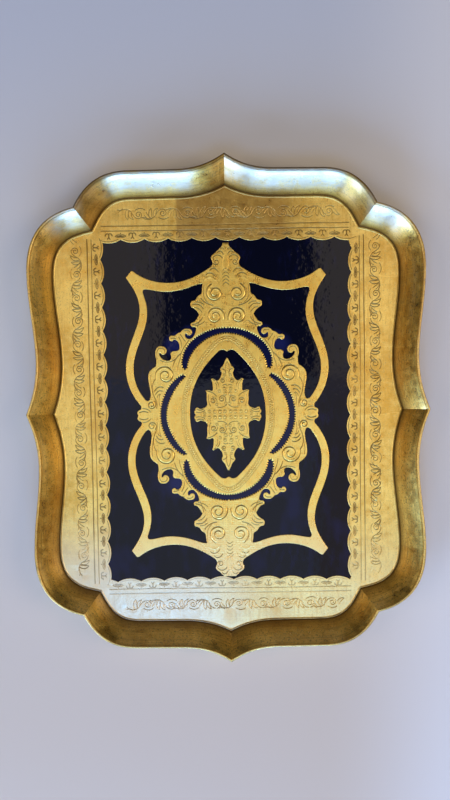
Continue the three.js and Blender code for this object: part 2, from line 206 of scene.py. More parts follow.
# ---- plane curves --------------------------------------------------------------------------
def trace(start, steps, spacing=0.8):
    """Points along a path, about spacing apart."""
    here = np.array(start, float)
    points = [here]
    for step in steps:
        controls = [here] + [np.array(step[i : i + 2], float) for i in range(0, len(step), 2)]
        rough = sum(np.linalg.norm(b - a) for a, b in zip(controls, controls[1:]))
        t = np.linspace(0, 1, max(1, math.ceil(rough / spacing)) + 1)[1:, None]
        degree = len(controls) - 1
        weights = [math.comb(degree, k) * t**k * (1 - t) ** (degree - k) for k in range(degree + 1)]
        points.extend(sum(w * c for w, c in zip(weights, controls)))
        here = controls[-1]
    return np.array(points)


def spiral(centre, outer, inner, start_deg, turns, spacing=0.8):
    """A volute from its outer to its inner radius; turns is positive anticlockwise."""
    length = abs(turns) * math.pi * (outer + inner)
    t = np.linspace(0, 1, max(8, math.ceil(length / spacing)))
    angle = math.radians(start_deg) + t * turns * 2 * math.pi
    radius = outer + (inner - outer) * t**0.8
    return np.stack([centre[0] + radius * np.cos(angle), centre[1] + radius * np.sin(angle)], axis=1)


def without_doubles(loop):
    """A closed loop without the points that coincide with the next."""
    return loop[np.linalg.norm(loop - np.roll(loop, -1, axis=0), axis=1) > 1e-3]


def all_round(quarter):
    """A clockwise quarter from the +Y axis to the +X axis, mirrored into a closed loop."""
    back = quarter[::-1]
    return without_doubles(np.concatenate([quarter, back * (1, -1), quarter * (-1, -1), back * (-1, 1)]))


def doubled(half, flip):
    """Half an outline and its mirror image, joined into a closed loop."""
    return np.concatenate([half, (half[::-1] * flip)[1:-1]])


def left_normals(points, closed=False):
    """Unit normals on the left of a line of points."""
    if closed:
        along = np.roll(points, -1, axis=0) - np.roll(points, 1, axis=0)
    else:
        along = np.gradient(points, axis=0)
    along /= np.maximum(np.linalg.norm(along, axis=1, keepdims=True), 1e-9)
    return np.stack([-along[:, 1], along[:, 0]], axis=1)


def inside(points, loops):
    """Which points lie inside the region that the loops bound, by counting crossings."""
    starts = np.concatenate(loops)
    ends = np.concatenate([np.roll(loop, -1, axis=0) for loop in loops])
    sloped = starts[:, 1] != ends[:, 1]
    (x0, y0), (x1, y1) = starts[sloped].T, ends[sloped].T
    slope = (x1 - x0) / (y1 - y0)
    low, high = np.minimum(y0, y1), np.maximum(y0, y1)
    hit = np.zeros(len(points), bool)
    by_height = np.argsort(points[:, 1])
    for rows in np.array_split(by_height, len(points) // 600 + 1):
        x, y = points[rows, :1], points[rows, 1:]
        near = (low <= y.max(initial=-np.inf)) & (high >= y.min(initial=np.inf))
        spans = (low[near] <= y) & (y < high[near])
        before = x < x0[near] + (y - y0[near]) * slope[near]
        hit[rows] = (spans & before).sum(axis=1) % 2 == 1
    return hit


def filled_in(points, spacing, closed=False):
    """The same line with points no further apart than spacing."""
    ends = np.roll(points, -1, axis=0) if closed else points[1:]
    pieces = []
    for a, b in zip(points, ends):
        count = max(1, math.ceil(np.linalg.norm(b - a) / spacing))
        pieces.append(a + (b - a) * np.linspace(0, 1, count, endpoint=False)[:, None])
    if not closed:
        pieces.append(points[-1:])
    return np.concatenate(pieces)


def lengths_along(line):
    """Length along a line at each of its points."""
    return np.concatenate([[0], np.cumsum(np.linalg.norm(np.diff(line, axis=0), axis=1))])


def at_lengths(places, along, values):
    """Two columns of values given at lengths along a line, read off at other places."""
    return np.stack([np.interp(places, along, values[:, k]) for k in (0, 1)], axis=1)


def evenly(loop, spacing):
    """Points round a closed loop, evenly about spacing apart, even in number."""
    ring = np.concatenate([loop, loop[:1]])
    length = lengths_along(ring)
    places = np.linspace(0, length[-1], 2 * round(length[-1] / spacing / 2), endpoint=False)
    return at_lengths(places, length, ring)


def tree_of(points):
    tree = KDTree(len(points))
    for i, (x, y) in enumerate(points):
        tree.insert((x, y, 0), i)
    tree.balance()
    return tree


def nearest(tree, points):
    """The number of the tree's nearest point to each point, and its distance."""
    found = [tree.find((x, y, 0))[1:] for x, y in points]
    return [k for k, _ in found], np.array([distance for _, distance in found])


def risen(values, start, run):
    """Share from 0 at a start to 1 a run past it; a negative run goes downwards."""
    return np.clip((values - start) / run, 0, 1)


def noise_over(points, layer):
    """Smooth noise over the tray, the same each time for one layer."""
    return np.array([noise.noise(Vector((x * 0.03, y * 0.03, layer))) for x, y in points])


# ---- rim curves ----------------------------------------------------------------------------
RAIL_SPACING = 0.5
PAST_NOTCH = 16  # each rail's curve runs straight on this far past the notch, for its mitre


def rim_curve(path, inward_side, cusp_axis):
    """A rail's lip edge from its cusp on an axis to the notch and past it."""
    line = trace(*path, spacing=RAIL_SPACING)
    length = lengths_along(line)
    inward = -left_normals(line) * inward_side
    ahead = line[-1] - line[-2]
    ahead /= np.linalg.norm(ahead)
    extra = np.arange(RAIL_SPACING, PAST_NOTCH, RAIL_SPACING)
    return {
        "points": np.concatenate([line, line[-1] + extra[:, None] * ahead]),
        "inward": np.concatenate([inward, np.repeat(inward[-1:], len(extra), axis=0)]),
        "along": np.concatenate([length, length[-1] + extra]),
        "cusp_axis": cusp_axis,
    }


head_curve = rim_curve(HEAD_RAIL, 1, 0)
side_curve = rim_curve(SIDE_RAIL, -1, 1)
NOTCH_INWARD = head_curve["inward"][-1] + side_curve["inward"][-1]
NOTCH_INWARD /= np.linalg.norm(NOTCH_INWARD)


def rim_line(curve, inset, count):
    """Points and lengths along a rail at one inset from the lip, trimmed to both mitres."""
    points = curve["points"] + curve["inward"] * inset
    from_cusp = points[:, curve["cusp_axis"]]
    off = points - NOTCH
    past_notch = off[:, 1] * NOTCH_INWARD[0] - off[:, 0] * NOTCH_INWARD[1]
    if curve is side_curve:
        past_notch = -past_notch
    along = curve["along"]

    def crossing(values, after):
        k = np.nonzero((values[:-1] < 0) & (values[1:] >= 0) & (along[1:] > after))[0][0]
        share = -values[k] / (values[k + 1] - values[k])
        return along[k] + share * (along[k + 1] - along[k])

    first = crossing(from_cusp, 0) if from_cusp[0] < -1e-6 else 0.0
    last = crossing(past_notch, along[-1] * 0.6)
    places = np.linspace(first, last, count)
    return at_lengths(places, along, points), places


def tray_outline(inset, head_count=150, side_count=180):
    head = rim_line(head_curve, inset, head_count)[0]
    side = rim_line(side_curve, inset, side_count)[0][::-1]
    return all_round(np.concatenate([head, side[1:]]))


# ---- scalloped panel edge ------------------------------------------------------------------
LOBE_STEP = SCALLOP_PITCH / 32  # between the points of a lobe
CORNER_GAP = 0.3  # least gap between a corner and the next point
CORNER_ROUNDS = 30


def panel_reach(side, place):
    """Reach of the lacquered panel at a place along one side."""
    cell = (place - side["cusp"]) / SCALLOP_PITCH
    from_middle = (cell - math.floor(cell) - 0.5) * SCALLOP_PITCH
    rise = math.sqrt(LOBE_RADIUS**2 - from_middle**2) - (LOBE_RADIUS - SCALLOP_DEPTH)
    span = place / BOW_SPAN
    return side["reach"] + side["lean"] * span + side["bow"] * span**2 - rise


def panel_corner(end_side, sx, flank_side, sy):
    """Where two sides' edges cross, closed in on by turns."""
    x, y = flank_side["reach"], end_side["reach"]
    for _ in range(CORNER_ROUNDS):
        x = panel_reach(flank_side, sy * y)
        y = panel_reach(end_side, sx * x)
    return sx * x, sy * y


def side_places(side, start, end):
    """Places along one side from its first corner up to, but without, its last."""
    low, high = sorted((start, end))
    first = math.ceil((low + CORNER_GAP - side["cusp"]) / LOBE_STEP)
    last = math.floor((high - CORNER_GAP - side["cusp"]) / LOBE_STEP)
    between = [side["cusp"] + i * LOBE_STEP for i in range(first, last + 1)]
    return [start] + (between if start < end else between[::-1])


def panel_outline():
    """The lacquered panel's edge, clockwise from its top left corner."""
    top, bottom, left, right = (PANEL_SIDES[name] for name in ("top", "bottom", "left", "right"))
    top_right = panel_corner(top, 1, right, 1)
    bottom_right = panel_corner(bottom, 1, right, -1)
    bottom_left = panel_corner(bottom, -1, left, -1)
    top_left = panel_corner(top, -1, left, 1)
    loop = [(x, panel_reach(top, x)) for x in side_places(top, top_left[0], top_right[0])]
    loop += [(panel_reach(right, y), y) for y in side_places(right, top_right[1], bottom_right[1])]
    loop += [(x, -panel_reach(bottom, x)) for x in side_places(bottom, bottom_right[0], bottom_left[0])]
    loop += [(-panel_reach(left, y), y) for y in side_places(left, bottom_left[1], top_left[1])]
    return np.array(loop)


# ---- meshes --------------------------------------------------------------------------------
def new_piece(name, vertices, faces, material, replaces=(), crease_deg=38):
    """A shaded mesh piece from points in millimetres, riding on the tray's body."""
    mesh = bpy.data.meshes.new(name)
    mesh.from_pydata((np.asarray(vertices) * MM).tolist(), [], faces)
    mesh.validate()
    mesh.shade_smooth()
    mesh.set_sharp_from_angle(angle=math.radians(crease_deg))
    mesh.materials.append(material)
    piece = bpy.data.objects.new(name, mesh)
    bpy.context.scene.collection.objects.link(piece)
    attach(piece, "root")
    if replaces:
        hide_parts(*replaces)
    return piece


def set_attribute(piece, name, values):
    """Stores a number from 0 to 1 on each vertex for the materials, 0 past the given ones."""
    layer = piece.data.attributes.new(name, "FLOAT", "POINT")
    padded = np.zeros(len(piece.data.vertices))
    padded[: len(values)] = values
    layer.data.foreach_set("value", padded)


# Where the recesses' glaze is thinner: at the middle of the head, and towards the foot as a painted
# highlight on the grooves.
HEAD_THINNED = {"share": 0.65, "x": 10, "half_width": 70, "start": 185, "run": 10}
FOOT_GROOVE_HIGHLIGHT = {"share": 0.55, "start": -110, "run": -80}
LEAST_GLAZE = 0.15


def glaze_left(points):
    """Share of the dark glaze left in the recesses: thinner at the middle of the head, and thinned towards
    the foot as a painted highlight on the grooves there.
    """
    x, y = points.T
    off_middle = (x - HEAD_THINNED["x"]) / HEAD_THINNED["half_width"]
    head = HEAD_THINNED["share"] * np.exp(-off_middle**2) * risen(y, HEAD_THINNED["start"], HEAD_THINNED["run"])
    foot = FOOT_GROOVE_HIGHLIGHT["share"] * risen(y, FOOT_GROOVE_HIGHLIGHT["start"], FOOT_GROOVE_HIGHLIGHT["run"])
    return np.clip(1.0 + 0.5 * noise_over(points, 9.0) - head - foot, LEAST_GLAZE, 1)


class Relief:
    """A raised plate whose face carries engraved strokes, ridges, domes and dimples."""

    EDGE = 0.32  # rounding of the plate's edge
    EDGE_DROP = 0.28
    INSETS = (0.35 * EDGE, EDGE, 1.8 * EDGE)  # of the lines of points along the edge
    GUARD = 0.3  # flat margin kept beside each stroke
    STROKE_CLEARANCE = EDGE + 0.15  # from the plate's edge to the edge of a stroke
    DOME_CLEARANCE = 0.3
    RIM_SAMPLE = 0.2  # between the samples of the edge, and of a stroke, for measuring distances
    STROKE_SAMPLE = 0.15
    FLANK_GLAZE = 0.55  # glaze at a groove's flanks, against 1 at its bottom
    DIMPLE_GLAZE = 0.7
    PEARL_FOOT_GLAZE = 0.85

    def __init__(self, loops, top, base):
        self.loops = loops
        self.top = top
        self.base = base
        self.points = []
        self.edges = []
        self.count = 0
        self.stroke_samples = []
        self.stroke_facts = []  # half width, depth and glaze of each sample
        self.domes = []
        rim = [filled_in(loop, self.RIM_SAMPLE, closed=True) for loop in loops]
        self.rim_tree = tree_of(np.concatenate(rim))

    def from_rim(self, points):
        return nearest(self.rim_tree, points)[1]

    def add_loose(self, points):
        """Adds points without constraints."""
        self.points.append(points)
        self.count += len(points)

    def add_line(self, points, keep=None, closed=False):
        """Adds a line of constraints, broken where keep is false."""
        keep = np.ones(len(points), bool) if keep is None else keep
        number = self.count + np.cumsum(keep) - 1
        for i in range(len(points) if closed else len(points) - 1):
            j = (i + 1) % len(points)
            if keep[i] and keep[j]:
                self.edges.append((int(number[i]), int(number[j])))
        self.add_loose(points[keep])

    def add_edges(self):
        """The outlines, and the insets that round the plate's edge."""
        for loop in self.loops:
            self.add_line(loop, closed=True)
            normals = left_normals(loop, closed=True)
            for sign in (1, -1):
                for inset in self.INSETS:
                    line = loop + sign * inset * normals
                    keep = inside(line, self.loops) & (self.from_rim(line) > 0.9 * inset)
                    self.add_line(line, keep, closed=True)

    def stroke(self, line, width=0.9, depth=0.2, beads=0.0, glaze=1.0):
        """A groove along a line, or a ridge where depth is negative, begun again at sharp corners."""
        steps = np.diff(line, axis=0)
        corners = np.nonzero((steps[1:] * steps[:-1]).sum(axis=1) < 0)[0] + 1
        ends = [0, *corners, len(line) - 1]
        for first, last in zip(ends, ends[1:]):
            self.smooth_stroke(line[first : last + 1], width, depth, beads, glaze)

    def smooth_stroke(self, line, width, depth, beads, glaze):
        allowed = inside(line, self.loops)
        allowed &= self.from_rim(line) > width / 2 + self.STROKE_CLEARANCE
        if allowed.sum() < 2:
            return
        normals = left_normals(line)
        self.add_line(line, allowed)
        for sign in (1, -1):
            self.add_line(line + sign * width / 2 * normals, allowed)
        self.add_guard(line, normals, width / 2 + self.GUARD, allowed)
        depths = depth * (1 - beads * (np.arange(len(line)) % 2))
        for i in range(len(line) - 1):
            if allowed[i] and allowed[i + 1]:
                count = max(2, math.ceil(np.linalg.norm(line[i + 1] - line[i]) / self.STROKE_SAMPLE))
                for t in np.linspace(0, 1, count, endpoint=False):
                    self.stroke_samples.append(line[i] * (1 - t) + line[i + 1] * t)
                    self.stroke_facts.append((width / 2, depths[i] * (1 - t) + depths[i + 1] * t, glaze))

    def add_guard(self, line, normals, margin, allowed):
        """A loop of flat points round a stroke, so that its shading stays within it."""
        outward = np.array([(normals[k, 1], -normals[k, 0]) for k in (0, -1)])
        rows = np.unique(np.append(np.arange(0, len(line), 2), len(line) - 1))
        sides = [line[rows] + margin * normals[rows], (line[rows] - margin * normals[rows])[::-1]]
        ends = [line[-1:] + margin * outward[1], line[:1] - margin * outward[0]]
        loop = np.concatenate([sides[0], ends[0], sides[1], ends[1]])
        kept = allowed[rows]
        keep = np.concatenate([kept, kept[-1:], kept[::-1], kept[:1]])
        keep &= self.from_rim(loop) > self.EDGE
        self.add_line(loop, keep & inside(loop, self.loops), closed=True)

    def add_domes(self, centres, radius, height, sides=8):
        """Raised pearls, or dimples where height is negative, at the centres that have room."""
        centres = np.asarray(centres, float)
        room = (self.from_rim(centres) > radius + self.DOME_CLEARANCE) & inside(centres, self.loops)
        ring = np.arange(sides) * 2 * math.pi / sides
        circle = np.stack([np.cos(ring), np.sin(ring)], axis=1)
        radii = (radius,) if sides < 7 else (radius + self.GUARD, radius, 0.6 * radius)
        for centre in centres[room]:
            for ring_radius in radii:
                self.add_line(centre + circle * ring_radius, closed=True)
            self.add_line(centre[None])
            self.domes.append((*centre, radius, height))

    def build(self, name, material, replaces, unevenness=0.05):
        """Joins the points into a plate and makes it a piece."""
        self.add_edges()
        points = np.concatenate(self.points)
        flat = [Vector(p) for p in points.tolist()]
        cdt = delaunay_2d_cdt(flat, self.edges, [], 0, 1e-4, False)
        points = np.array([tuple(p) for p in cdt[0]])
        triangles = np.array(cdt[2])
        triangles = triangles[inside(points[triangles].mean(axis=1), self.loops)]
        heights, patina_and_shade = self.heights(points, unevenness)
        vertices, faces = self.closed_up(points, triangles, heights)
        piece = new_piece(name, vertices, faces, material, replaces, crease_deg=60)
        set_attribute(piece, "patina_and_shade", patina_and_shade)
        return piece

    def heights(self, points, unevenness):
        """Height and share of dark glaze at each point."""
        height = self.top - self.EDGE_DROP * np.clip(1 - self.from_rim(points) / self.EDGE, 0, 1) ** 2
        patina_and_shade = np.zeros(len(points))
        if self.stroke_samples:
            numbers, distance = nearest(tree_of(self.stroke_samples), points)
            half, depth, glaze = np.array(self.stroke_facts)[numbers].T
            within = distance < 1.04 * half
            cut = np.maximum(0, 1 - (distance / half) ** 2)
            height -= depth * cut * within
            share = self.FLANK_GLAZE + (1 - self.FLANK_GLAZE) * cut
            patina_and_shade = glaze * share * (within & (depth > 0))
        if self.domes:
            domes = np.array(self.domes)
            numbers, distance = nearest(tree_of(domes[:, :2]), points)
            radius, rise = domes[numbers, 2:].T
            within = distance < 0.999 * radius
            height += rise * np.sqrt(np.maximum(0, 1 - (distance / radius) ** 2)) * within
            patina_and_shade = np.where(within, self.DIMPLE_GLAZE * (rise < 0), patina_and_shade)
            at_foot = ~within & (distance < 1.05 * radius) & (rise > 0)
            patina_and_shade = np.where(at_foot, self.PEARL_FOOT_GLAZE, patina_and_shade)
        return height + unevenness * (noise_over(points, 4.0) - 0.5), patina_and_shade * glaze_left(points)

    def closed_up(self, points, triangles, heights):
        """Vertices and faces of the modelled face with its side walls and flat underside."""
        sides = np.concatenate([triangles[:, [0, 1]], triangles[:, [1, 2]], triangles[:, [2, 0]]])
        pairs = {(a, b) for a, b in sides.tolist()}
        border = sorted((a, b) for a, b in pairs if (b, a) not in pairs)
        used = sorted({a for a, _ in border})
        number = {a: i for i, a in enumerate(used)}
        under = np.column_stack([points[used], np.full(len(used), self.base)])
        vertices = np.concatenate([np.column_stack([points, heights]), under])
        first_under = len(points)
        faces = triangles.tolist()
        faces += [(b, a, first_under + number[a], first_under + number[b]) for a, b in border]
        lines = [(number[a], number[b]) for a, b in border]
        bottom = delaunay_2d_cdt([Vector(p) for p in points[used].tolist()], lines, [], 0, 1e-5, False)
        flat = np.array([tuple(p) for p in bottom[0]])
        plates = np.array(bottom[2])
        plates = plates[inside(flat[plates].mean(axis=1), self.loops)]
        faces += [(first_under + c, first_under + b, first_under + a) for a, b, c in plates.tolist()]
        return vertices, faces


# ---- node materials ------------------------------------------------------------------------
class Nodes:
    """One material and its nodes, whose inputs are numbers, colours or other nodes' sockets."""

    def __init__(self, name):
        self.material = bpy.data.materials.new(name)
        self.material.use_nodes = True
        self.tree = self.material.node_tree
        self.tree.nodes.clear()

    def add(self, kind, inputs, **settings):
        """Adds a node and returns its outputs."""
        node = self.tree.nodes.new(f"ShaderNode{kind}")
        for key, value in settings.items():
            setattr(node, key, value)
        for key, value in inputs.items():
            if isinstance(value, bpy.types.NodeSocket):
                self.tree.links.new(value, node.inputs[key])
            else:
                node.inputs[key].default_value = value
        return node.outputs

    def finish(self, inputs):
        """Adds the shader and the output, and returns the material."""
        shader = self.add("BsdfPrincipled", inputs)["BSDF"]
        self.add("OutputMaterial", {"Surface": shader})
        return self.material

    def place(self, scale=(1, 1, 1)):
        """The place on the tray in metres, times a scale along each axis."""
        coords = self.add("TexCoord", {})["Object"]
        return self.add("Mapping", {"Vector": coords, "Scale": scale})["Vector"]

    def noise(self, vector, scale, detail=3.0, roughness=0.55):
        inputs = {"Vector": vector, "Scale": scale, "Detail": detail, "Roughness": roughness}
        return self.add("TexNoise", inputs)["Fac"]

    def attribute(self, name):
        return self.add("Attribute", {}, attribute_name=name)["Fac"]

    def ramp(self, value, low, high, low_out=0.0, high_out=1.0):
        """Maps a range of a value smoothly onto another."""
        inputs = {"Value": value, "From Min": low, "From Max": high, "To Min": low_out, "To Max": high_out}
        return self.add("MapRange", inputs, interpolation_type="SMOOTHSTEP")[0]

    def mix(self, share, first, second):
        """The first colour, replaced by a share of the second."""
        return self.add("Mix", {0: share, 6: first, 7: second}, data_type="RGBA")[2]

    def times(self, first, second):
        return self.add("Math", {0: first, 1: second}, operation="MULTIPLY")[0]

    def plus(self, first, second):
        return self.add("Math", {0: first, 1: second}, operation="ADD")[0]

    def blend(self, *terms):
        """The sum of values times their weights."""
        weighted = [self.times(value, weight) for value, weight in terms]
        total = weighted[0]
        for term in weighted[1:]:
            total = self.plus(total, term)
        return total

    def bump(self, height, strength, distance):
        inputs = {"Height": height, "Strength": strength, "Distance": distance}
        return self.add("Bump", inputs)["Normal"]

    def patch(self, place, *limits):
        """A soft-edged patch of the tray: 1 past each limit (axis, 0 at, 1 at), in metres."""
        axes = self.add("SeparateXYZ", {"Vector": place})
        share = 1.0
        for axis, nought, full in limits:
            share = self.times(self.ramp(axes[axis], nought, full), share)
        return share

    def patched(self, colour, place, patches):
        """A colour with patches of others, each (colour, share, limits of the patch)."""
        for other, share, *limits in patches:
            colour = self.mix(self.times(self.patch(place, *limits), share), colour, other)
        return colour


def leaf_tone(nodes, place):
    """Tone of each hand-laid leaf, about 80 mm square, with soft uneven seams."""
    sway = nodes.add("TexNoise", {"Vector": place, "Scale": 22.0, "Detail": 2.0})["Color"]
    bent = nodes.add(
        "VectorMath",
        {0: sway, 1: (0.012, 0.012, 0.0), 2: place},
        operation="MULTIPLY_ADD",
    )
    leaves = nodes.add(
        "TexBrick",
        {
            "Vector": bent["Vector"],
            "Color1": (0.35, 0.35, 0.35, 1),
            "Color2": (0.65, 0.65, 0.65, 1),
            "Mortar": (0.9, 0.9, 0.9, 1),
            "Scale": 1.0,
            "Mortar Size": 0.0006,
            "Mortar Smooth": 0.6,
            "Brick Width": 0.082,
            "Row Height": 0.078,
        },
    )
    return leaves["Color"]


# Where a painted silver reflection lies along the head of the rim: each span's start and its stop, as x of 0
# and of 1.
PAINTED_SHEEN_SPANS = (
    ((-0.200, -0.185), (-0.152, -0.160)),
    ((-0.139, -0.124), (-0.030, -0.042)),
    ((-0.001, 0.001), (0.139, 0.124)),
    ((0.152, 0.160), (0.200, 0.185)),
)


def rim_painted_light(nodes, place):
    """Painted silver reflection along the head of the rim, broken up by noise, and painted brown shade near
    the ends of its rails.
    """
    broken_sheen = nodes.ramp(nodes.noise(place, 60.0, 5.0, 0.7), 0.36, 0.56, 0.35, 0.85)
    head, height = ("Y", 0.190, 0.205), ("Z", 0.010, 0.022)
    patches = []
    # Painted reflection: silver on the head's wall, in patches.
    for start, stop in PAINTED_SHEEN_SPANS:
        patches.append(((0.66, 0.60, 0.47, 1), broken_sheen, head, height, ("X", *start), ("X", *stop)))
    # Painted shade: brown near the notch ends of the head rails.
    for side in (-1, 1):
        end = ("X", side * 0.128, side * 0.145), ("X", side * 0.164, side * 0.154)
        patches.append(((0.30, 0.19, 0.06, 1), 0.5, ("Y", 0.195, 0.205), *end))
    return patches


# Patches of painted light and shade on the gilding, (colour, share, limits): a painted silver reflection at
# the foot of the border, most of it on the left, a painted dark reflection laid as one dark leaf at the
# middle of its head, and a paler painted reflection at the foot of the ornament.
BORDER_PAINTED_LIGHT = (
    ((0.80, 0.70, 0.53, 1), 0.85, ("Y", -0.095, -0.225), ("X", 0.06, -0.06)),
    ((0.80, 0.70, 0.53, 1), 0.22, ("Y", -0.095, -0.225), ("X", -0.06, 0.06)),
    ((0.40, 0.23, 0.06, 1), 0.62, ("Y", 0.188, 0.200), ("X", -0.057, -0.053), ("X", 0.095, 0.055)),
)
ORNAMENT_PAINTED_LIGHT = (((0.85, 0.62, 0.42, 1), 0.4, ("Y", -0.09, -0.19)),)
UMBER = (0.10, 0.05, 0.012, 1)


def gilt_material(name, light, dark, roughness, wear, patches, on_rail=False):
    """Burnished metal leaf: mottled colour, worn specks, brushed streaks, dark glaze in the recesses,
    painted shade on the rails, and patches of painted reflection and shade.
    """
    nodes = Nodes(name)
    place = nodes.place()
    if on_rail:
        uv = nodes.add("UVMap", {}, uv_map="along")["UV"]
        streak_place = nodes.add("Mapping", {"Vector": uv, "Scale": (0.02, 0.45, 1.0)})["Vector"]
        patches = rim_painted_light(nodes, place)
    else:
        streak_place = nodes.place((420, 45, 1))
    streaks = nodes.noise(streak_place, 1.0, 4.0)
    clouds = nodes.noise(place, 13.0, 4.0)
    mottle = nodes.noise(place, 110.0, 5.0, 0.65)
    grain = nodes.noise(place, 480.0, 3.0, 0.7)
    tone = nodes.blend((clouds, 0.38), (mottle, 0.33), (leaf_tone(nodes, place), 0.12), (grain, 0.30))
    colour = nodes.mix(nodes.ramp(tone, 0.46, 0.65), dark, light)
    if on_rail:
        colour = nodes.mix(nodes.ramp(streaks, 0.47, 0.68, 0.0, 0.30), colour, UMBER)
    else:
        colour = nodes.mix(nodes.ramp(streaks, 0.50, 0.72, 0.0, 0.5), colour, dark)
    colour = nodes.mix(nodes.ramp(grain, 0.50, 0.66, 0.0, wear), colour, UMBER)
    # Patches of painted reflection and painted shade: silver and brown on the rim's head, silver and a dark
    # leaf on the border, paler gold on the ornament.
    colour = nodes.patched(colour, place, patches)
    # Dark glaze from the vertex attribute: real patina in the reliefs' grooves and dimples, painted shade in
    # the rails' crease, up their toe and near their lip.
    patina_and_shade = nodes.attribute("patina_and_shade")
    colour = nodes.mix(nodes.times(patina_and_shade, 0.93), colour, UMBER)
    uneven = nodes.plus(mottle, nodes.times(streaks, 0.5))
    rough = nodes.ramp(uneven, 0.5, 1.0, roughness - 0.07, roughness + 0.12)
    relief = nodes.blend((mottle, 0.5), (streaks, 0.1), (grain, 0.4))
    shader = {
        "Base Color": colour,
        "Metallic": 1.0,
        "Roughness": nodes.plus(rough, nodes.times(patina_and_shade, 0.2)),
        "Normal": nodes.bump(relief, 0.7, 0.0005),
        "Coat Weight": nodes.ramp(patina_and_shade, 0.3, 1.0, 0.9 if on_rail else 0.5, 0.1),
        "Coat Roughness": 0.24,
        "Coat IOR": 1.8,
    }
    return nodes.finish(shader)


def lacquer_material(name, deep, bright, thinned, roughness):
    """Brushed navy lacquer under a glossy coat, bluer where the "thin" attribute is high."""
    nodes = Nodes(name)
    place = nodes.place()
    brush = nodes.noise(nodes.place((190, 60, 1)), 1.0, 5.0)
    clouds = nodes.noise(place, 16.0, 4.0)
    swell = nodes.noise(place, 130.0, 2.0)
    dust = nodes.noise(place, 420.0)
    patches = nodes.times(nodes.ramp(brush, 0.45, 0.8), nodes.ramp(clouds, 0.42, 0.68))
    shader = {
        "Base Color": nodes.mix(nodes.attribute("thin"), nodes.mix(patches, deep, bright), thinned),
        "Roughness": nodes.ramp(dust, 0.35, 0.75, roughness - 0.02, roughness + 0.04),
        "Specular IOR Level": 0.18,
        "Coat Weight": 0.15,
        "Coat Roughness": 0.03,
        "Normal": nodes.bump(nodes.blend((swell, 0.8), (brush, 0.1)), 0.5, 0.00045),
    }
    return nodes.finish(shader)


def board_material():
    """Thin plywood under a worn bronze wash, with its veneer grain and layered edge."""
    nodes = Nodes("board_plywood")
    grain = nodes.noise(nodes.place((260, 9, 260)), 1.0, 6.0, 0.6)
    cloud = nodes.noise(nodes.place(), 16.0, 4.0)
    wood = nodes.mix(nodes.ramp(grain, 0.35, 0.7), (0.30, 0.19, 0.10, 1), (0.13, 0.075, 0.035, 1))
    washed = nodes.mix(nodes.ramp(cloud, 0.42, 0.6, 0.0, 0.55), wood, (0.42, 0.29, 0.12, 1))
    shader = {"Base Color": washed, "Roughness": 0.6, "Normal": nodes.bump(grain, 0.4, 0.0003)}
    return nodes.finish(shader)


def steel_material():
    """Dull steel pin heads, spotted with rust."""
    nodes = Nodes("pin_steel")
    spots = nodes.noise(nodes.place(), 900.0)
    rusted = nodes.mix(nodes.ramp(spots, 0.5, 0.7), (0.33, 0.32, 0.30, 1), (0.16, 0.08, 0.04, 1))
    rough = nodes.ramp(spots, 0.4, 0.7, 0.35, 0.6)
    return nodes.finish({"Base Color": rusted, "Metallic": 0.9, "Roughness": rough})


FLOOR_COLOUR = (0.60, 0.54, 0.50, 1)
FLOOR_LIGHT_PATCHES = (  # painted light and shade: warmer before the foot, darker and cooler beyond the head, paler at the right
    ((0.57, 0.46, 0.38, 1), 1.0, ("Y", 0.0, -0.40)),
    ((0.52, 0.53, 0.60, 1), 1.0, ("Y", 0.15, 0.50)),
    ((0.74, 0.70, 0.70, 1), 0.8, ("X", 0.10, 0.32)),
)


def floor_material():
    """A pale floor with painted light and shade drifting softly across it."""
    nodes = Nodes("pale_floor")
    colour = nodes.patched(FLOOR_COLOUR, nodes.place(), FLOOR_LIGHT_PATCHES)
    return nodes.finish({"Base Color": colour, "Roughness": 0.9})


rim_gilt = gilt_material(
    "gilt_rim", (1.0, 0.69, 0.16, 1), (0.68, 0.40, 0.06, 1), 0.33, 0.62, (), on_rail=True
)
relief_gilt = gilt_material(
    "gilt_relief", (1.0, 0.72, 0.19, 1), (0.72, 0.42, 0.06, 1), 0.34, 0.3, BORDER_PAINTED_LIGHT
)
ornament_gilt = gilt_material(
    "gilt_ornament", (1.0, 0.73, 0.17, 1), (0.90, 0.55, 0.09, 1), 0.30, 0.15, ORNAMENT_PAINTED_LIGHT
)
navy = lacquer_material(
    "navy_lacquer", (0.0025, 0.003, 0.009, 1), (0.005, 0.006, 0.032, 1), (0.012, 0.015, 0.08, 1), 0.03
)


# ---- rim rails -----------------------------------------------------------------------------
def rail_section():
    """Section of a rail: u inwards from the lip edge and z up."""
    lip_z = RIM_TOP - LIP_WIDTH / 2
    start = (FOOT_SETBACK + 0.6, BOARD_TOP)
    steps = [
        (WALL_RUN - 0.2, BOARD_TOP),
        (WALL_RUN, BOARD_TOP + 0.2),
        (WALL_RUN, RELIEF_TOP - 0.3),
        (WALL_RUN - 0.1, RELIEF_TOP + 0.5, WALL_RUN - 0.8, RELIEF_TOP + 1.2),
        (15.6, 24.0, LIP_WIDTH, lip_z),
    ]
    body = trace(start, steps, spacing=1.0)
    turn = np.radians(np.arange(15, 181, 15))
    lip = np.stack([LIP_WIDTH / 2 * (1 + np.cos(turn)), lip_z + LIP_WIDTH / 2 * np.sin(turn)], axis=1)
    outer = trace(lip[-1], [(6.8, 20.0, FOOT_SETBACK, BOARD_TOP + 0.6), start], spacing=1.2)
    return np.concatenate([body, lip, outer[1:-1]])


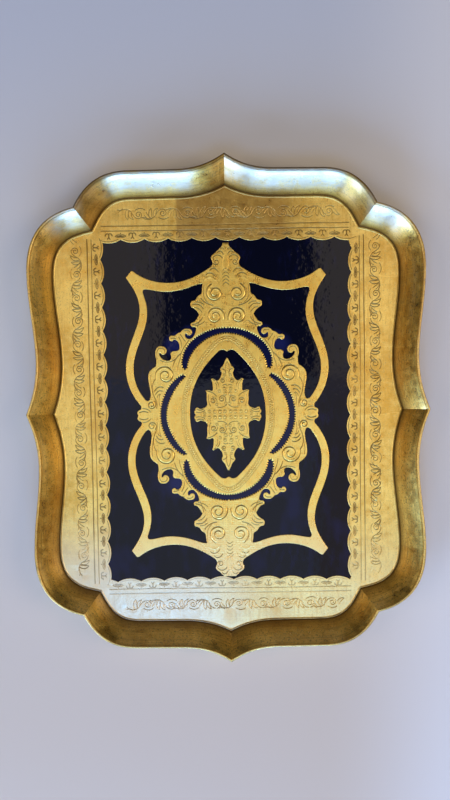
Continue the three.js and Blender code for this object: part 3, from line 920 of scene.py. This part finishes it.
RAIL_SWAY = ((0.16, 0.035), (0.05, 0.16))  # size and frequency of the rails' unevenness
MITRE_FADE = 3.0  # which fades out over this length before their ends
TOE_SHADE = 18.0  # painted shade darkens the gilding this far up the wall from its crease
TOE_LINE = 1.6  # and darkest in the crease itself
LIP_RUN = 5.5  # it darkens again this near the lip edge
LIP_FADE = 3.0
LIP_HEIGHT = 8.0
LIP_SHARE, HEAD_LIP_SHARE = 0.3, 0.8  # of the painted shade, the head's lip being the darkest


def rail_shade(section, lip_share):
    """Share of painted shade at each point of a rail's section: in the crease, up the toe of the wall and
    near the lip.
    """
    u, z = section.T
    up_wall = risen(z, RELIEF_TOP, TOE_SHADE)
    wall = np.where(z < RELIEF_TOP + TOE_LINE, 1.0, 0.95 * (1 - up_wall) ** 1.2)
    wall = np.where(u > WALL_RUN / 2, wall, 0)
    near_lip = risen(u, LIP_RUN, -LIP_FADE) * (z > RIM_TOP - LIP_HEIGHT)
    return np.maximum(wall, lip_share * near_lip)


def rail_grid(section, curve, stations, flips):
    """Points of a slightly uneven rail, section point by section point, and their lengths along it."""
    grid = []
    places = []
    for (inset, z), (out_u, out_z) in zip(section, -left_normals(section, closed=True)):
        line, along = rim_line(curve, inset, stations)
        inward = at_lengths(along, curve["along"], curve["inward"])
        fade = np.clip(np.minimum(along - along[0], along[-1] - along) / MITRE_FADE, 0, 1)
        firm = BOARD_TOP + 0.1 <= z <= RIM_TOP - 1.0
        for i, (x, y) in enumerate(line * flips):
            spot = Vector((x, y, z))
            sway = sum(size * noise.noise(spot * frequency) for size, frequency in RAIL_SWAY)
            push = sway * fade[i] * firm
            grid.append((*((line[i] + inward[i] * out_u * push) * flips), z + out_z * push))
            places.append(along[i])
    return grid, np.array(places)


def rail_faces(count, stations):
    """Faces between the section's points and the stations, with both ends closed."""
    faces = []
    for k in range(count):
        a, b = k * stations, ((k + 1) % count) * stations
        faces += [(a + i, b + i, b + i + 1, a + i + 1) for i in range(stations - 1)]
    faces.append(tuple(k * stations for k in reversed(range(count))))
    faces.append(tuple(k * stations + stations - 1 for k in range(count)))
    return faces


def build_rail(name, curve, stations, flips, lip_share):
    section = rail_section()
    grid, places = rail_grid(section, curve, stations, flips)
    faces = rail_faces(len(section), stations)
    if (curve is head_curve) == (flips[0] == flips[1]):
        faces = [tuple(reversed(face)) for face in faces]
    piece = new_piece(f"{name}_gilt", grid, faces, rim_gilt, [name], crease_deg=50)
    loops = np.zeros(len(piece.data.loops), int)
    piece.data.loops.foreach_get("vertex_index", loops)
    across = np.repeat(lengths_along(section), stations)
    layer = piece.data.uv_layers.new(name="along")
    layer.data.foreach_set("uv", np.stack([places[loops], across[loops]], axis=1).ravel())
    # Painted shade on the rails, kept in the same attribute as the reliefs' patina.
    set_attribute(piece, "patina_and_shade", np.repeat(rail_shade(section, lip_share), stations))


QUARTERS = {"top_right": (1, 1), "bottom_right": (1, -1), "bottom_left": (-1, -1), "top_left": (-1, 1)}

for quarter, flips in QUARTERS.items():
    head_share = HEAD_LIP_SHARE if quarter.startswith("top") else LIP_SHARE
    build_rail(f"rim_head_{quarter}", head_curve, 130, flips, head_share)
    build_rail(f"rim_side_{quarter}", side_curve, 170, flips, LIP_SHARE)


# ---- lacquered ground ----------------------------------------------------------------------
GROUND_STEP = 2.5
GROUND_JITTER = 0.6
THIN_POCKETS = (((60, 79), 11), ((43, 93), 7), ((56, 88), 6))  # bluer lacquer between the hooks


def thin_ground(places):
    """Share of thin, bluer lacquer: round the pockets, and in soft patches towards the foot."""
    folded = np.abs(places - (0, ORNAMENT_Y))
    thin = np.zeros(len(places))
    for pocket, radius in THIN_POCKETS:
        off = np.linalg.norm(folded - pocket, axis=1) / radius
        thin = np.maximum(thin, 0.8 * np.clip(1.4 - off, 0, 1))
    patches = np.array([noise.fractal(Vector((x * 0.035, y * 0.02, 2.0)), 0.8, 2.0, 3) for x, y in places])
    return np.maximum(thin, risen(places[:, 1], 60, -160) * np.clip(0.5 * patches, 0, 0.3))


def build_ground():
    relief = Relief([tray_outline(FLOOR_INSET, 60, 70)], GROUND_TOP, BOARD_TOP)
    chance = random.Random(11)

    def moved(value):
        return value + chance.uniform(-GROUND_JITTER, GROUND_JITTER)

    for x in np.arange(-145, 145.1, GROUND_STEP):
        relief.add_loose(np.array([(moved(x), moved(y)) for y in np.arange(-200, 200.1, GROUND_STEP)]))
    piece = relief.build("lacquer_ground_brushed", navy, ["lacquer_ground"], 0.03)
    places = np.array([vertex.co[:2] for vertex in piece.data.vertices]) / MM
    set_attribute(piece, "thin", thin_ground(places))


build_ground()


# ---- border relief -------------------------------------------------------------------------
# Strokes of one half-turn of the running scroll: s along the band, t across it. Each is a path's
# start and steps.
SCROLL_STEM = ((-9.4, -2.4), (-5, -7, 2.5, -6.8, 6.4, -2.2), (8.6, 2.6, 11.5, 5.6, 15.4, 5.4))
SCROLL_LEAVES = (
    ((4.5, -3.6), (2.2, 1.2, 4.2, 5.2, 9.2, 6.4), (7.4, 3.4, 6.6, 0.8, 6.9, -1.4)),
    ((1.4, -5.4), (-1.8, -1, -1.2, 3.6, 2.2, 5.9), (3, 2.4, 2.4, -1.6, 3.4, -4.4)),
    ((20.6, 1.4), (22.4, 4.8, 25, 5.8, 28.2, 4.8), (25.4, 3, 23.6, 0.6, 22.2, -2.2)),
    ((10.5, -4.4), (14, -7.2, 19, -7, 22, -4.4)),
    ((-2.6, -6.2), (-5, -4.4, -7, -4.2, -9.2, -5.4)),
)
SCROLL_STEP = 1.05  # spacing of the points along the scroll's strokes
SCROLL_DEPTH = 0.32


def scroll_unit():
    stem, *leaves = [trace(start, steps, SCROLL_STEP) for start, *steps in (SCROLL_STEM, *SCROLL_LEAVES)]
    return [stem, spiral((15.4, 0.6), 4.8, 1.1, 90, -1.45, SCROLL_STEP), *leaves]


# Punches, their foot at t = 0: each line's width, then its path's start and steps.
PALMETTE_PUNCH = (
    (1.3, (-3.9, 4.3), (-3.6, 7.3, -1.2, 7.2, 0, 6.4), (1.2, 7.2, 3.6, 7.3, 3.9, 4.3)),
    (1.4, (0, 6), (0, 2.8)),
    (1.2, (-1.6, 0.6), (-0.5, 2, 0, 3), (0.5, 2, 1.6, 0.6)),
)
FLOWER_PUNCH = (
    (0.9, (-6, 3.6), (-3, 5.6, -1.4, 5.4, 0, 4.4), (1.4, 5.4, 3, 5.6, 6, 3.6)),
    (0.9, (-5.6, 3.2), (-3, 2, -1.4, 1.9, 0, 2.8), (1.4, 1.9, 3, 2, 5.6, 3.2)),
    (1.6, (-3.4, 3.6), (3.4, 3.6)),
    (1.2, (0, 5.9), (0, 6.9)),
)
PUNCH_STEP = 0.6
PUNCH_DEPTH = 0.26

# Each side's mapping of (s along, t outwards) to the tray, half the length of its punched band, its
# number of scroll units and half the length of its engraved lines.
SIDE_FRAMES = {
    "top": (lambda s, t: (s, t), 137, 9, 140),
    "bottom": (lambda s, t: (s, -t), 137, 9, 140),
    "left": (lambda s, t: (-t, s), 190, 14, 197),
    "right": (lambda s, t: (t, s), 190, 14, 197),
}
BAND_FROM_CUSP = {
    "top": {"punch": 0.4, "line": (9.0, 14.4), "scroll": 27.6},
    "bottom": {"punch": 0.4, "line": (9.8, 15.2), "scroll": 28.6},
    "left": {"punch": 1.0, "line": (11.4, 16.2), "scroll": 28.8},
    "right": {"punch": 1.0, "line": (11.4, 16.2), "scroll": 28.8},
}
BEAD_INSET = 1.5  # from the floor's edge to the middle of the bead along it
LINE_WIDTHS = (0.9, 1.2)
LINE_STEP = 1.3
FIRST_SCROLL = 9  # from the start of the row of scroll units to the middle of the first


def on_side(place, line, s0, t0):
    """A stroke moved along its band and turned onto its side of the tray."""
    return np.array([place(s0 + s, t0 + t) for s, t in line])


def add_engraved_lines(relief, place, reach, offsets, half_length):
    for offset, width in zip(offsets, LINE_WIDTHS):
        along = np.arange(-half_length, half_length, LINE_STEP)
        line = [place(s, reach + offset + 0.25 * math.sin(s / 37)) for s in along]
        relief.stroke(np.array(line), width, 0.34, beads=0.4)


def add_punches(relief, place, side, from_edge, half_length):
    """An arc and a palmette over each lobe of the panel's edge, and a flower over each cusp."""

    def punch(pattern, s, foot):
        for width, start, *steps in pattern:
            relief.stroke(on_side(place, trace(start, steps, PUNCH_STEP), s, foot), width, PUNCH_DEPTH)

    for k in range(math.ceil((-half_length - side["cusp"]) / SCALLOP_PITCH) - 1, 9):
        cusp = side["cusp"] + k * SCALLOP_PITCH
        middle = cusp + SCALLOP_PITCH / 2
        foot = panel_reach(side, cusp) + from_edge
        if abs(middle) < half_length:
            arc = middle + np.arange(-10.8, 10.9, 0.9)
            relief.stroke(np.array([place(s, panel_reach(side, s) + 1.9) for s in arc]), 0.6, 0.14)
            punch(PALMETTE_PUNCH, middle, foot)
        if abs(cusp) < half_length:
            punch(FLOWER_PUNCH, cusp, foot)


def add_scrolls(relief, place, chance, units, reach):
    """The running scroll, turned over from each unit to the next and slightly uneven."""
    first = FIRST_SCROLL - units * SCALLOP_PITCH / 2
    for k in range(units):
        flip = 1 if k % 2 else -1
        for stroke in scroll_unit():
            drift = chance.uniform(-0.7, 0.7), chance.uniform(-0.4, 0.4)
            swollen = stroke * chance.uniform(0.92, 1.06) * (1, flip) + drift
            line = on_side(place, swollen, first + k * SCALLOP_PITCH, reach)
            relief.stroke(line, chance.uniform(0.7, 0.95), SCROLL_DEPTH, glaze=chance.uniform(0.7, 1.0))


def build_border():
    relief = Relief([tray_outline(FLOOR_INSET), panel_outline()], RELIEF_TOP, GROUND_TOP)
    bead = evenly(tray_outline(FLOOR_INSET + BEAD_INSET), 2.0)
    relief.stroke(np.concatenate([bead, bead[:1]]), 1.4, -0.5)
    for name, (place, punch_half, units, line_half) in SIDE_FRAMES.items():
        side = PANEL_SIDES[name]
        band = BAND_FROM_CUSP[name]
        add_engraved_lines(relief, place, side["reach"], band["line"], line_half)
        add_punches(relief, place, side, band["punch"], punch_half)
        add_scrolls(relief, place, random.Random(name), units, side["reach"] + band["scroll"])
    relief.build("border_gilt", relief_gilt, ["border_relief"])


build_border()


# ---- cartouche and medallion ---------------------------------------------------------------
ORNAMENT_CENTRE = np.array((0, ORNAMENT_Y))


def serrated(loop, pitch=2.8, depth=1.5):
    """A loop with a fine row of square teeth cut outwards from it."""
    even = evenly(loop, pitch / 4)
    x, y = even.T
    turned_left = (x * np.roll(y, -1) - y * np.roll(x, -1)).sum() > 0
    outward = left_normals(even, closed=True) * (-1 if turned_left else 1)
    return even + outward * (depth * (np.arange(len(even)) // 2 % 2))[:, None]


def cartouche_loops():
    """The cartouche's edge, its openings and the four crescents let into it."""
    edge = all_round(trace(*CARTOUCHE_EDGE))
    edge[:, 1] = np.maximum(edge[:, 1], -FINIAL_LOW_END)
    opening = trace(*STRAP_OPENING, spacing=0.7)[:-1]
    holes = [opening * flips for flips in QUARTERS.values()]
    holes.append(all_round(trace(*ALMOND_OPENING)))
    ends = doubled(trace(*END_CRESCENT), (-1, 1))
    sides = doubled(trace(*SIDE_CRESCENT), (1, -1))
    crescents = {"top": ends, "bottom": ends * (1, -1), "right": sides, "left": sides * (-1, 1)}
    return without_doubles(edge), holes, crescents


def cartouche_strokes():
    """Embossed lines of one quarter of the cartouche, as (line, width, depth)."""
    groove, fine, ridge = (1.1, 0.45), (0.85, 0.34), (1.7, -0.42)
    lines = [
        (spiral((12.6, 137.6), 11.2, 3, 70, -1.6), groove),
        (spiral((12.6, 137.6), 9.6, 1.9, 70, -1.55), ridge),
        (spiral((12.9, 111.6), 11.6, 2.8, 200, -1.7), groove),
        (spiral((12.9, 111.6), 10, 1.8, 200, -1.65), ridge),
        (spiral((10.8, 172.4), 4.2, 1.2, 60, -1.4), groove),
        (trace((14.6, 176.5), [(12, 181.5, 6, 181, 3.4, 176.5)]), groove),
        (trace((9.4, 182.6), [(7, 185.6, 3.6, 184.6, 2.2, 180.5)]), groove),
        (trace((6.2, 186.2), [(4.4, 188.8, 2.2, 188.4, 1.2, 185.2)]), fine),
        (trace((1.2, 164), [(3, 170, 4, 174, 2, 180)]), ridge),
        (trace((18.2, 163), [(15, 166.8, 11, 165.6, 8.2, 161)]), groove),
        (trace((22.6, 158), [(19.4, 161.6, 14.6, 160.6, 11.6, 155.8)]), groove),
        (trace((23.8, 152), [(21, 156.6, 15.4, 156.6, 11.6, 151.4)]), ridge),
        (trace((25.2, 147), [(26.2, 138, 26, 131, 20.4, 126.8)]), fine),
        (trace((28.6, 132), [(24.6, 127, 20.6, 124.8, 14.6, 123.9)]), groove),
        (trace((38, 125.2), [(32, 126.4, 28.4, 124.6, 25.8, 119.8)]), groove),
        (trace((36, 121.6), [(32.4, 121.6, 29.4, 119.4, 27.4, 115.6)]), fine),
        (trace((33.8, 127.8), [(30.4, 128.2, 27.6, 127.2, 25, 124.6)]), fine),
        (trace((38.6, 102.4), [(33.4, 103, 29.4, 105.6, 27.2, 110.6)]), groove),
        (trace((35.6, 101.2), [(31, 101.4, 26.6, 103.6, 24.6, 106.4)]), fine),
        (trace((29.6, 112.6), [(30.4, 105, 34.2, 96.6, 38.6, 91), (46, 80.5, 51.6, 74.5, 53.4, 66)]), fine),
        (spiral((70.4, 45.4), 12.4, 2.8, -20, 1.75), groove),
        (spiral((70.4, 45.4), 10.6, 1.8, -20, 1.7), ridge),
        (trace((82, 41.2), [(87, 36, 86.4, 27, 83.6, 20.6), (81, 16, 80, 12, 81.4, 8)]), groove),
        (trace((86.9, 47), [(88.4, 40, 86.2, 33, 85.8, 26)]), fine),
        (spiral((87, 12.2), 5.6, 1.4, 130, 1.5), groove),
        (spiral((87, 12.2), 4.2, 0.9, 130, 1.3), ridge),
        (trace((73, 31.6), [(77, 33.6, 81, 31.6, 83.4, 27.4)]), groove),
        (trace((74.6, 27.4), [(77.8, 29, 80.6, 27.2, 82.2, 23.6)]), groove),
        (trace((76.4, 23.4), [(78.4, 24.4, 80.2, 22.6, 80.6, 19.6)]), fine),
        (trace((76.6, 6.2), [(79, 14, 78.8, 19, 77, 25)]), fine),
        (trace((91.2, 3.2), [(95.4, 5.8, 98.4, 4.4, 101, 3.4)]), groove),
        (trace((88, 3.6), [(90.6, 7.4, 95, 8.2, 97.6, 8)]), fine),
        (trace((79.6, 64), [(80.6, 70.4, 79.6, 76, 75.6, 76.4), (71, 76.4, 70, 73, 71.2, 71.4)]), fine),
        (trace((58, 64.6), [(64.4, 58.4, 72, 60.4, 76.4, 62.6)]), fine),
        (trace((62, 55), [(60.4, 62, 56.6, 67, 52.2, 70.2)]), groove),
        (trace((54.4, 88.2), [(51.8, 84, 50.8, 80, 51.4, 75.8)]), fine),
        (trace((52.8, 91.6), [(49.8, 87.6, 48.2, 84.6, 46.8, 83.6)]), fine),
        (trace((63.6, 87.4), [(60, 88, 57.6, 87, 55.6, 84.4)]), fine),
        (trace((48.2, 95.6), [(44, 96.6, 41.4, 95.2, 41.6, 93.2)]), fine),
        (trace((56.6, 51.6), [(56, 58, 53.8, 62.6, 52.6, 65.6)]), fine),
    ]
    scales = [(trace((0, y + 3), [(2.4, y + 2.6, 3.8, y)]), fine) for y in range(146, 166, 4)]
    return [(line, *facts) for line, facts in lines + scales]


CORD_PATH = ((50.5, 0), [(50.5, 30, 37, 57, 12, 81.5), (6, 86.4, 0, 86.6)])
CORD_STEP = 1.35
CORD_HALF_WIDTH = 2.9
BEAD_ROW = 1.15  # from the cord's middle to the middles of a row of its beads


def add_cord(relief):
    """A cord round the almond: two rows of small beads between two grooves."""
    even = evenly(all_round(trace(*CORD_PATH)[::-1]), CORD_STEP)
    normals = left_normals(even, closed=True)
    closed_line = np.concatenate([even, even[:1]]) + ORNAMENT_CENTRE
    closed_normals = np.concatenate([normals, normals[:1]])
    for sign in (1, -1):
        relief.stroke(closed_line + sign * CORD_HALF_WIDTH * closed_normals, 0.7, 0.2, glaze=0.5)
    for sign, first in ((1, 0), (-1, 1)):
        beads = (even + sign * BEAD_ROW * normals + ORNAMENT_CENTRE)[first::2]
        relief.add_domes(beads, 1.0, 0.55)


DOT_RADIUS = 0.5
DOT_DEPTH = 0.2
DOT_CLEARANCE = 1.15  # from a dot's middle to the middle of the nearest stroke


def add_stipple(relief, allowed, step, half_width, half_height):
    """Punched dots wherever allowed, clear of the strokes."""
    chance = random.Random(5)
    strokes = tree_of(relief.stroke_samples)
    spots = []
    for x in np.arange(-half_width, half_width, step):
        for y in np.arange(-half_height, half_height, step):
            spot = ORNAMENT_CENTRE + (x + chance.uniform(-0.5, 0.5), y + chance.uniform(-0.5, 0.5))
            if allowed(abs(x), abs(y)) and strokes.find((*spot, 0))[2] > DOT_CLEARANCE:
                spots.append(spot)
    relief.add_domes(spots, DOT_RADIUS, -DOT_DEPTH, sides=5)


def stippled(x, y):
    """Where the cartouche has a stippled ground, in one quarter."""
    middle = x < 40 and 99 < y < 186
    flank = 52 < x < 92 and y < 96 and math.hypot(x, y * 0.97) > 79 - 0.12 * y
    return middle or flank


def in_quarters(points):
    """Points of one quarter of the ornament, mirrored into all four and moved to their place."""
    return [points * flips + ORNAMENT_CENTRE for flips in QUARTERS.values()]


def build_cartouche():
    edge, holes, crescents = cartouche_loops()
    loops = [edge, *holes] + [serrated(loop) for loop in crescents.values()]
    relief = Relief([loop + ORNAMENT_CENTRE for loop in loops], RELIEF_TOP, GROUND_TOP)
    for line, width, depth in cartouche_strokes():
        for mirrored in in_quarters(line):
            relief.stroke(mirrored, width, depth, glaze=0.9)
    add_cord(relief)
    add_stipple(relief, stippled, 2.1, 118, 196)
    relief.build("cartouche_gilt", ornament_gilt, ["cartouche_relief"])


def medallion_strokes():
    """Embossed lines of one quarter of the medallion, as (line, width, depth)."""
    groove, fine = (0.9, 0.3), (0.7, 0.24)
    return [
        (trace((0.2, 60), [(2.2, 56, 3, 52, 1.6, 47.6)]), *fine),
        (trace((6.4, 51.6), [(3.6, 52.2, 1.8, 50, 1.8, 46.4)]), *groove),
        (spiral((5, 38.4), 3.2, 1, 120, -1.3), *groove),
        (trace((16.6, 39.6), [(11.6, 38, 9.4, 34.4, 9.8, 30.6)]), *groove),
        (trace((13.8, 36), [(11.8, 33.6, 11.6, 31, 12.6, 28.6)]), *fine),
        (trace((23.6, 27), [(18.6, 26, 14.6, 23.6, 12.6, 20.6)]), *groove),
        (spiral((6.4, 17.6), 4.6, 1.2, 210, -1.5), *groove),
        (spiral((16.2, 15.6), 4.2, 1.2, 200, -1.4), *groove),
        (trace((21.6, 22.6), [(22.2, 18, 21.8, 13, 19.4, 9)]), *fine),
        (trace((35.6, 6.4), [(30.6, 3.6, 27, 6, 24.6, 9.6)]), *groove),
        (trace((36.2, 3), [(32, 1.8, 28.6, 2.6, 26, 5.4)]), *fine),
        (trace((0.6, 33), [(2.6, 34.6, 4.2, 34.2, 5.6, 32.6)]), *fine),
        (trace((1, 11), [(4, 8.2, 8, 7.4, 12, 8.6)]), *fine),
    ]


PEARL_HEIGHT = 0.7
# Pearls of one quarter of the medallion: x, y and radius.
MEDALLION_PEARLS = (
    (3.7, 29.4, 1.15), (2.9, 23.6, 1.35), (9.4, 26.6, 0.9), (6.4, 17.6, 0.9), (16.2, 15.6, 0.9),
    (3.4, 3.4, 1.2), (8.8, 3.2, 1.35), (15, 3.2, 1.25), (21, 3.4, 1.1), (26.6, 1.6, 0.7),
    (5, 38.4, 0.8), (3.4, 44.8, 0.8), (12.6, 11.4, 0.8), (2.2, 12.8, 0.9),
)


def build_medallion():
    edge = all_round(trace(*MEDALLION_EDGE, spacing=0.6))
    relief = Relief([edge + ORNAMENT_CENTRE], RELIEF_TOP, GROUND_TOP)
    for line, width, depth in medallion_strokes():
        for mirrored in in_quarters(line):
            relief.stroke(mirrored, width, depth)
    for x, y, radius in MEDALLION_PEARLS:
        for spot in in_quarters(np.array((x, y))):
            relief.add_domes([spot], radius, PEARL_HEIGHT, sides=10)
            relief.stroke(spiral(spot, radius + 0.75, radius + 0.75, 0, 1, 0.6), 0.6, 0.2, glaze=0.7)
    add_stipple(relief, lambda x, y: True, 2.3, 40, 66)
    relief.build("medallion_gilt", ornament_gilt, ["medallion_relief"])


CRESCENT_RISE = 0.08  # of the crescents' own lacquer over the ground
CRESCENT_THIN = 0.35


def build_crescent_lacquer():
    """The thinner, bluer lacquer inside the four crescents."""
    for name, loop in cartouche_loops()[2].items():
        middle = Relief([loop + ORNAMENT_CENTRE], GROUND_TOP + CRESCENT_RISE, GROUND_TOP - 0.05)
        piece = middle.build(f"crescent_lacquer_{name}", navy, (), 0.0)
        set_attribute(piece, "thin", np.full(len(piece.data.vertices), CRESCENT_THIN))


build_cartouche()
build_medallion()
build_crescent_lacquer()

# ---- board and pins ------------------------------------------------------------------------
board_wood = board_material()
pin_steel = steel_material()
for node_name, node_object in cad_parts.items():
    if node_name == "base_board" or node_name.startswith("panel_pin"):
        node_object.data.materials.clear()
        node_object.data.materials.append(board_wood if node_name == "base_board" else pin_steel)

# ---- stage, light and camera, in metres ----------------------------------------------------
FLOOR_HALF = 6.0
FLOOR_DROP = 0.0003  # the floor lies this far under the tray's foot


def add_stage():
    mesh = bpy.data.meshes.new("studio_floor")
    corners = [(x * FLOOR_HALF, y * FLOOR_HALF, 0) for x, y in ((-1, -1), (1, -1), (1, 1), (-1, 1))]
    mesh.from_pydata(corners, [], [(0, 1, 2, 3)])
    mesh.materials.append(floor_material())
    floor = bpy.data.objects.new("studio_floor", mesh)
    floor.location.z = -FLOOR_DROP
    bpy.context.scene.collection.objects.link(floor)


def add_softbox(name, place, turned, size, watts, colour):
    data = bpy.data.lights.new(name, "AREA")
    data.shape = "RECTANGLE"
    data.size, data.size_y = size
    data.energy = watts
    data.color = colour
    light = bpy.data.objects.new(name, data)
    light.location = place
    light.rotation_euler = turned
    light.visible_camera = False
    bpy.context.scene.collection.objects.link(light)


SKY, PALE, WHITE, WARM = (0.28, 0.52, 1.0), (0.39, 0.60, 1.0), (0.9, 0.95, 1.0), (1.0, 0.86, 0.66)
SOFTBOX_SIZE = 1.1
SOFTBOX_DISTANCE = 2.3
# Soft boxes round the tray: bearing from -Y towards +X and height in degrees, watts, colour.
SOFTBOXES = {
    "south_low": (0, 20, 41, SKY),
    "southwest_low": (-45, 20, 43, PALE),
    "southeast_low": (45, 20, 4, WARM),
    "east_low": (90, 20, 1.5, WARM),
    "east_high": (90, 45, 15.2, WARM),
    "west_high": (-90, 45, 11.0, WARM),
    "north_low": (180, 20, 1.1, WARM),
}
# Panels of the bright ceiling: x from and to, y from and to, watts, colour. Past the middle of
# the tray's head the ceiling is dark, which shows in the lacquer and the head of the gilt floor.
CEILING_HEIGHT = 2.3
CEILING = {
    "ceiling_northwest": (-0.95, -0.27, 0.1, 1.2, 2.8, WARM),
    "ceiling_northeast": (0.4, 1.05, 0.1, 1.2, 2.9, WARM),
    "ceiling_west": (-0.95, -0.27, -1.0, 0.1, 2.2, WHITE),
    "ceiling_middle": (-0.27, 0.4, -1.0, 0.1, 2.25, WHITE),
    "ceiling_east": (0.4, 1.05, -1.0, 0.1, 1.8, WARM),
    "ceiling_south": (-0.95, 1.05, -1.9, -1.0, 22, SKY),
}
WORLD_COLOUR, WORLD_STRENGTH = (0.72, 0.74, 0.8, 1), 0.02


def add_lights():
    world = bpy.data.worlds.new("studio")
    world.use_nodes = True
    background = world.node_tree.nodes["Background"]
    background.inputs["Color"].default_value = WORLD_COLOUR
    background.inputs["Strength"].default_value = WORLD_STRENGTH
    bpy.context.scene.world = world
    size = (SOFTBOX_SIZE, SOFTBOX_SIZE)
    for name, (bearing, height, watts, colour) in SOFTBOXES.items():
        turn, rise = math.radians(bearing), math.radians(height)
        out = Vector((math.cos(rise) * math.sin(turn), -math.cos(rise) * math.cos(turn), math.sin(rise)))
        inwards = (-out).to_track_quat("-Z", "Y").to_euler()
        add_softbox(name, out * SOFTBOX_DISTANCE, inwards, size, watts, colour)
    for name, (x0, x1, y0, y1, watts, colour) in CEILING.items():
        place = ((x0 + x1) / 2, (y0 + y1) / 2, CEILING_HEIGHT)
        add_softbox(name, place, (0, 0, 0), (x1 - x0, y1 - y0), watts, colour)


CAMERA_PLACE = (-0.00339, 0.01616, 0.80625)
CAMERA_TURN_DEG = (-2.995, 0.319, -0.897)
LENS, SENSOR_WIDTH = 31.5, 36
LENS_SHIFT = (0.00533, 0.0427)


def add_camera():
    data = bpy.data.cameras.new("camera")
    data.sensor_width = SENSOR_WIDTH
    data.lens = LENS
    data.shift_x, data.shift_y = LENS_SHIFT
    data.clip_start = 0.01
    camera = bpy.data.objects.new("camera", data)
    camera.location = CAMERA_PLACE
    camera.rotation_euler = [math.radians(angle) for angle in CAMERA_TURN_DEG]
    bpy.context.scene.collection.objects.link(camera)
    bpy.context.scene.camera = camera


add_stage()
add_lights()
add_camera()
bpy.context.scene.view_settings.view_transform = "Standard"
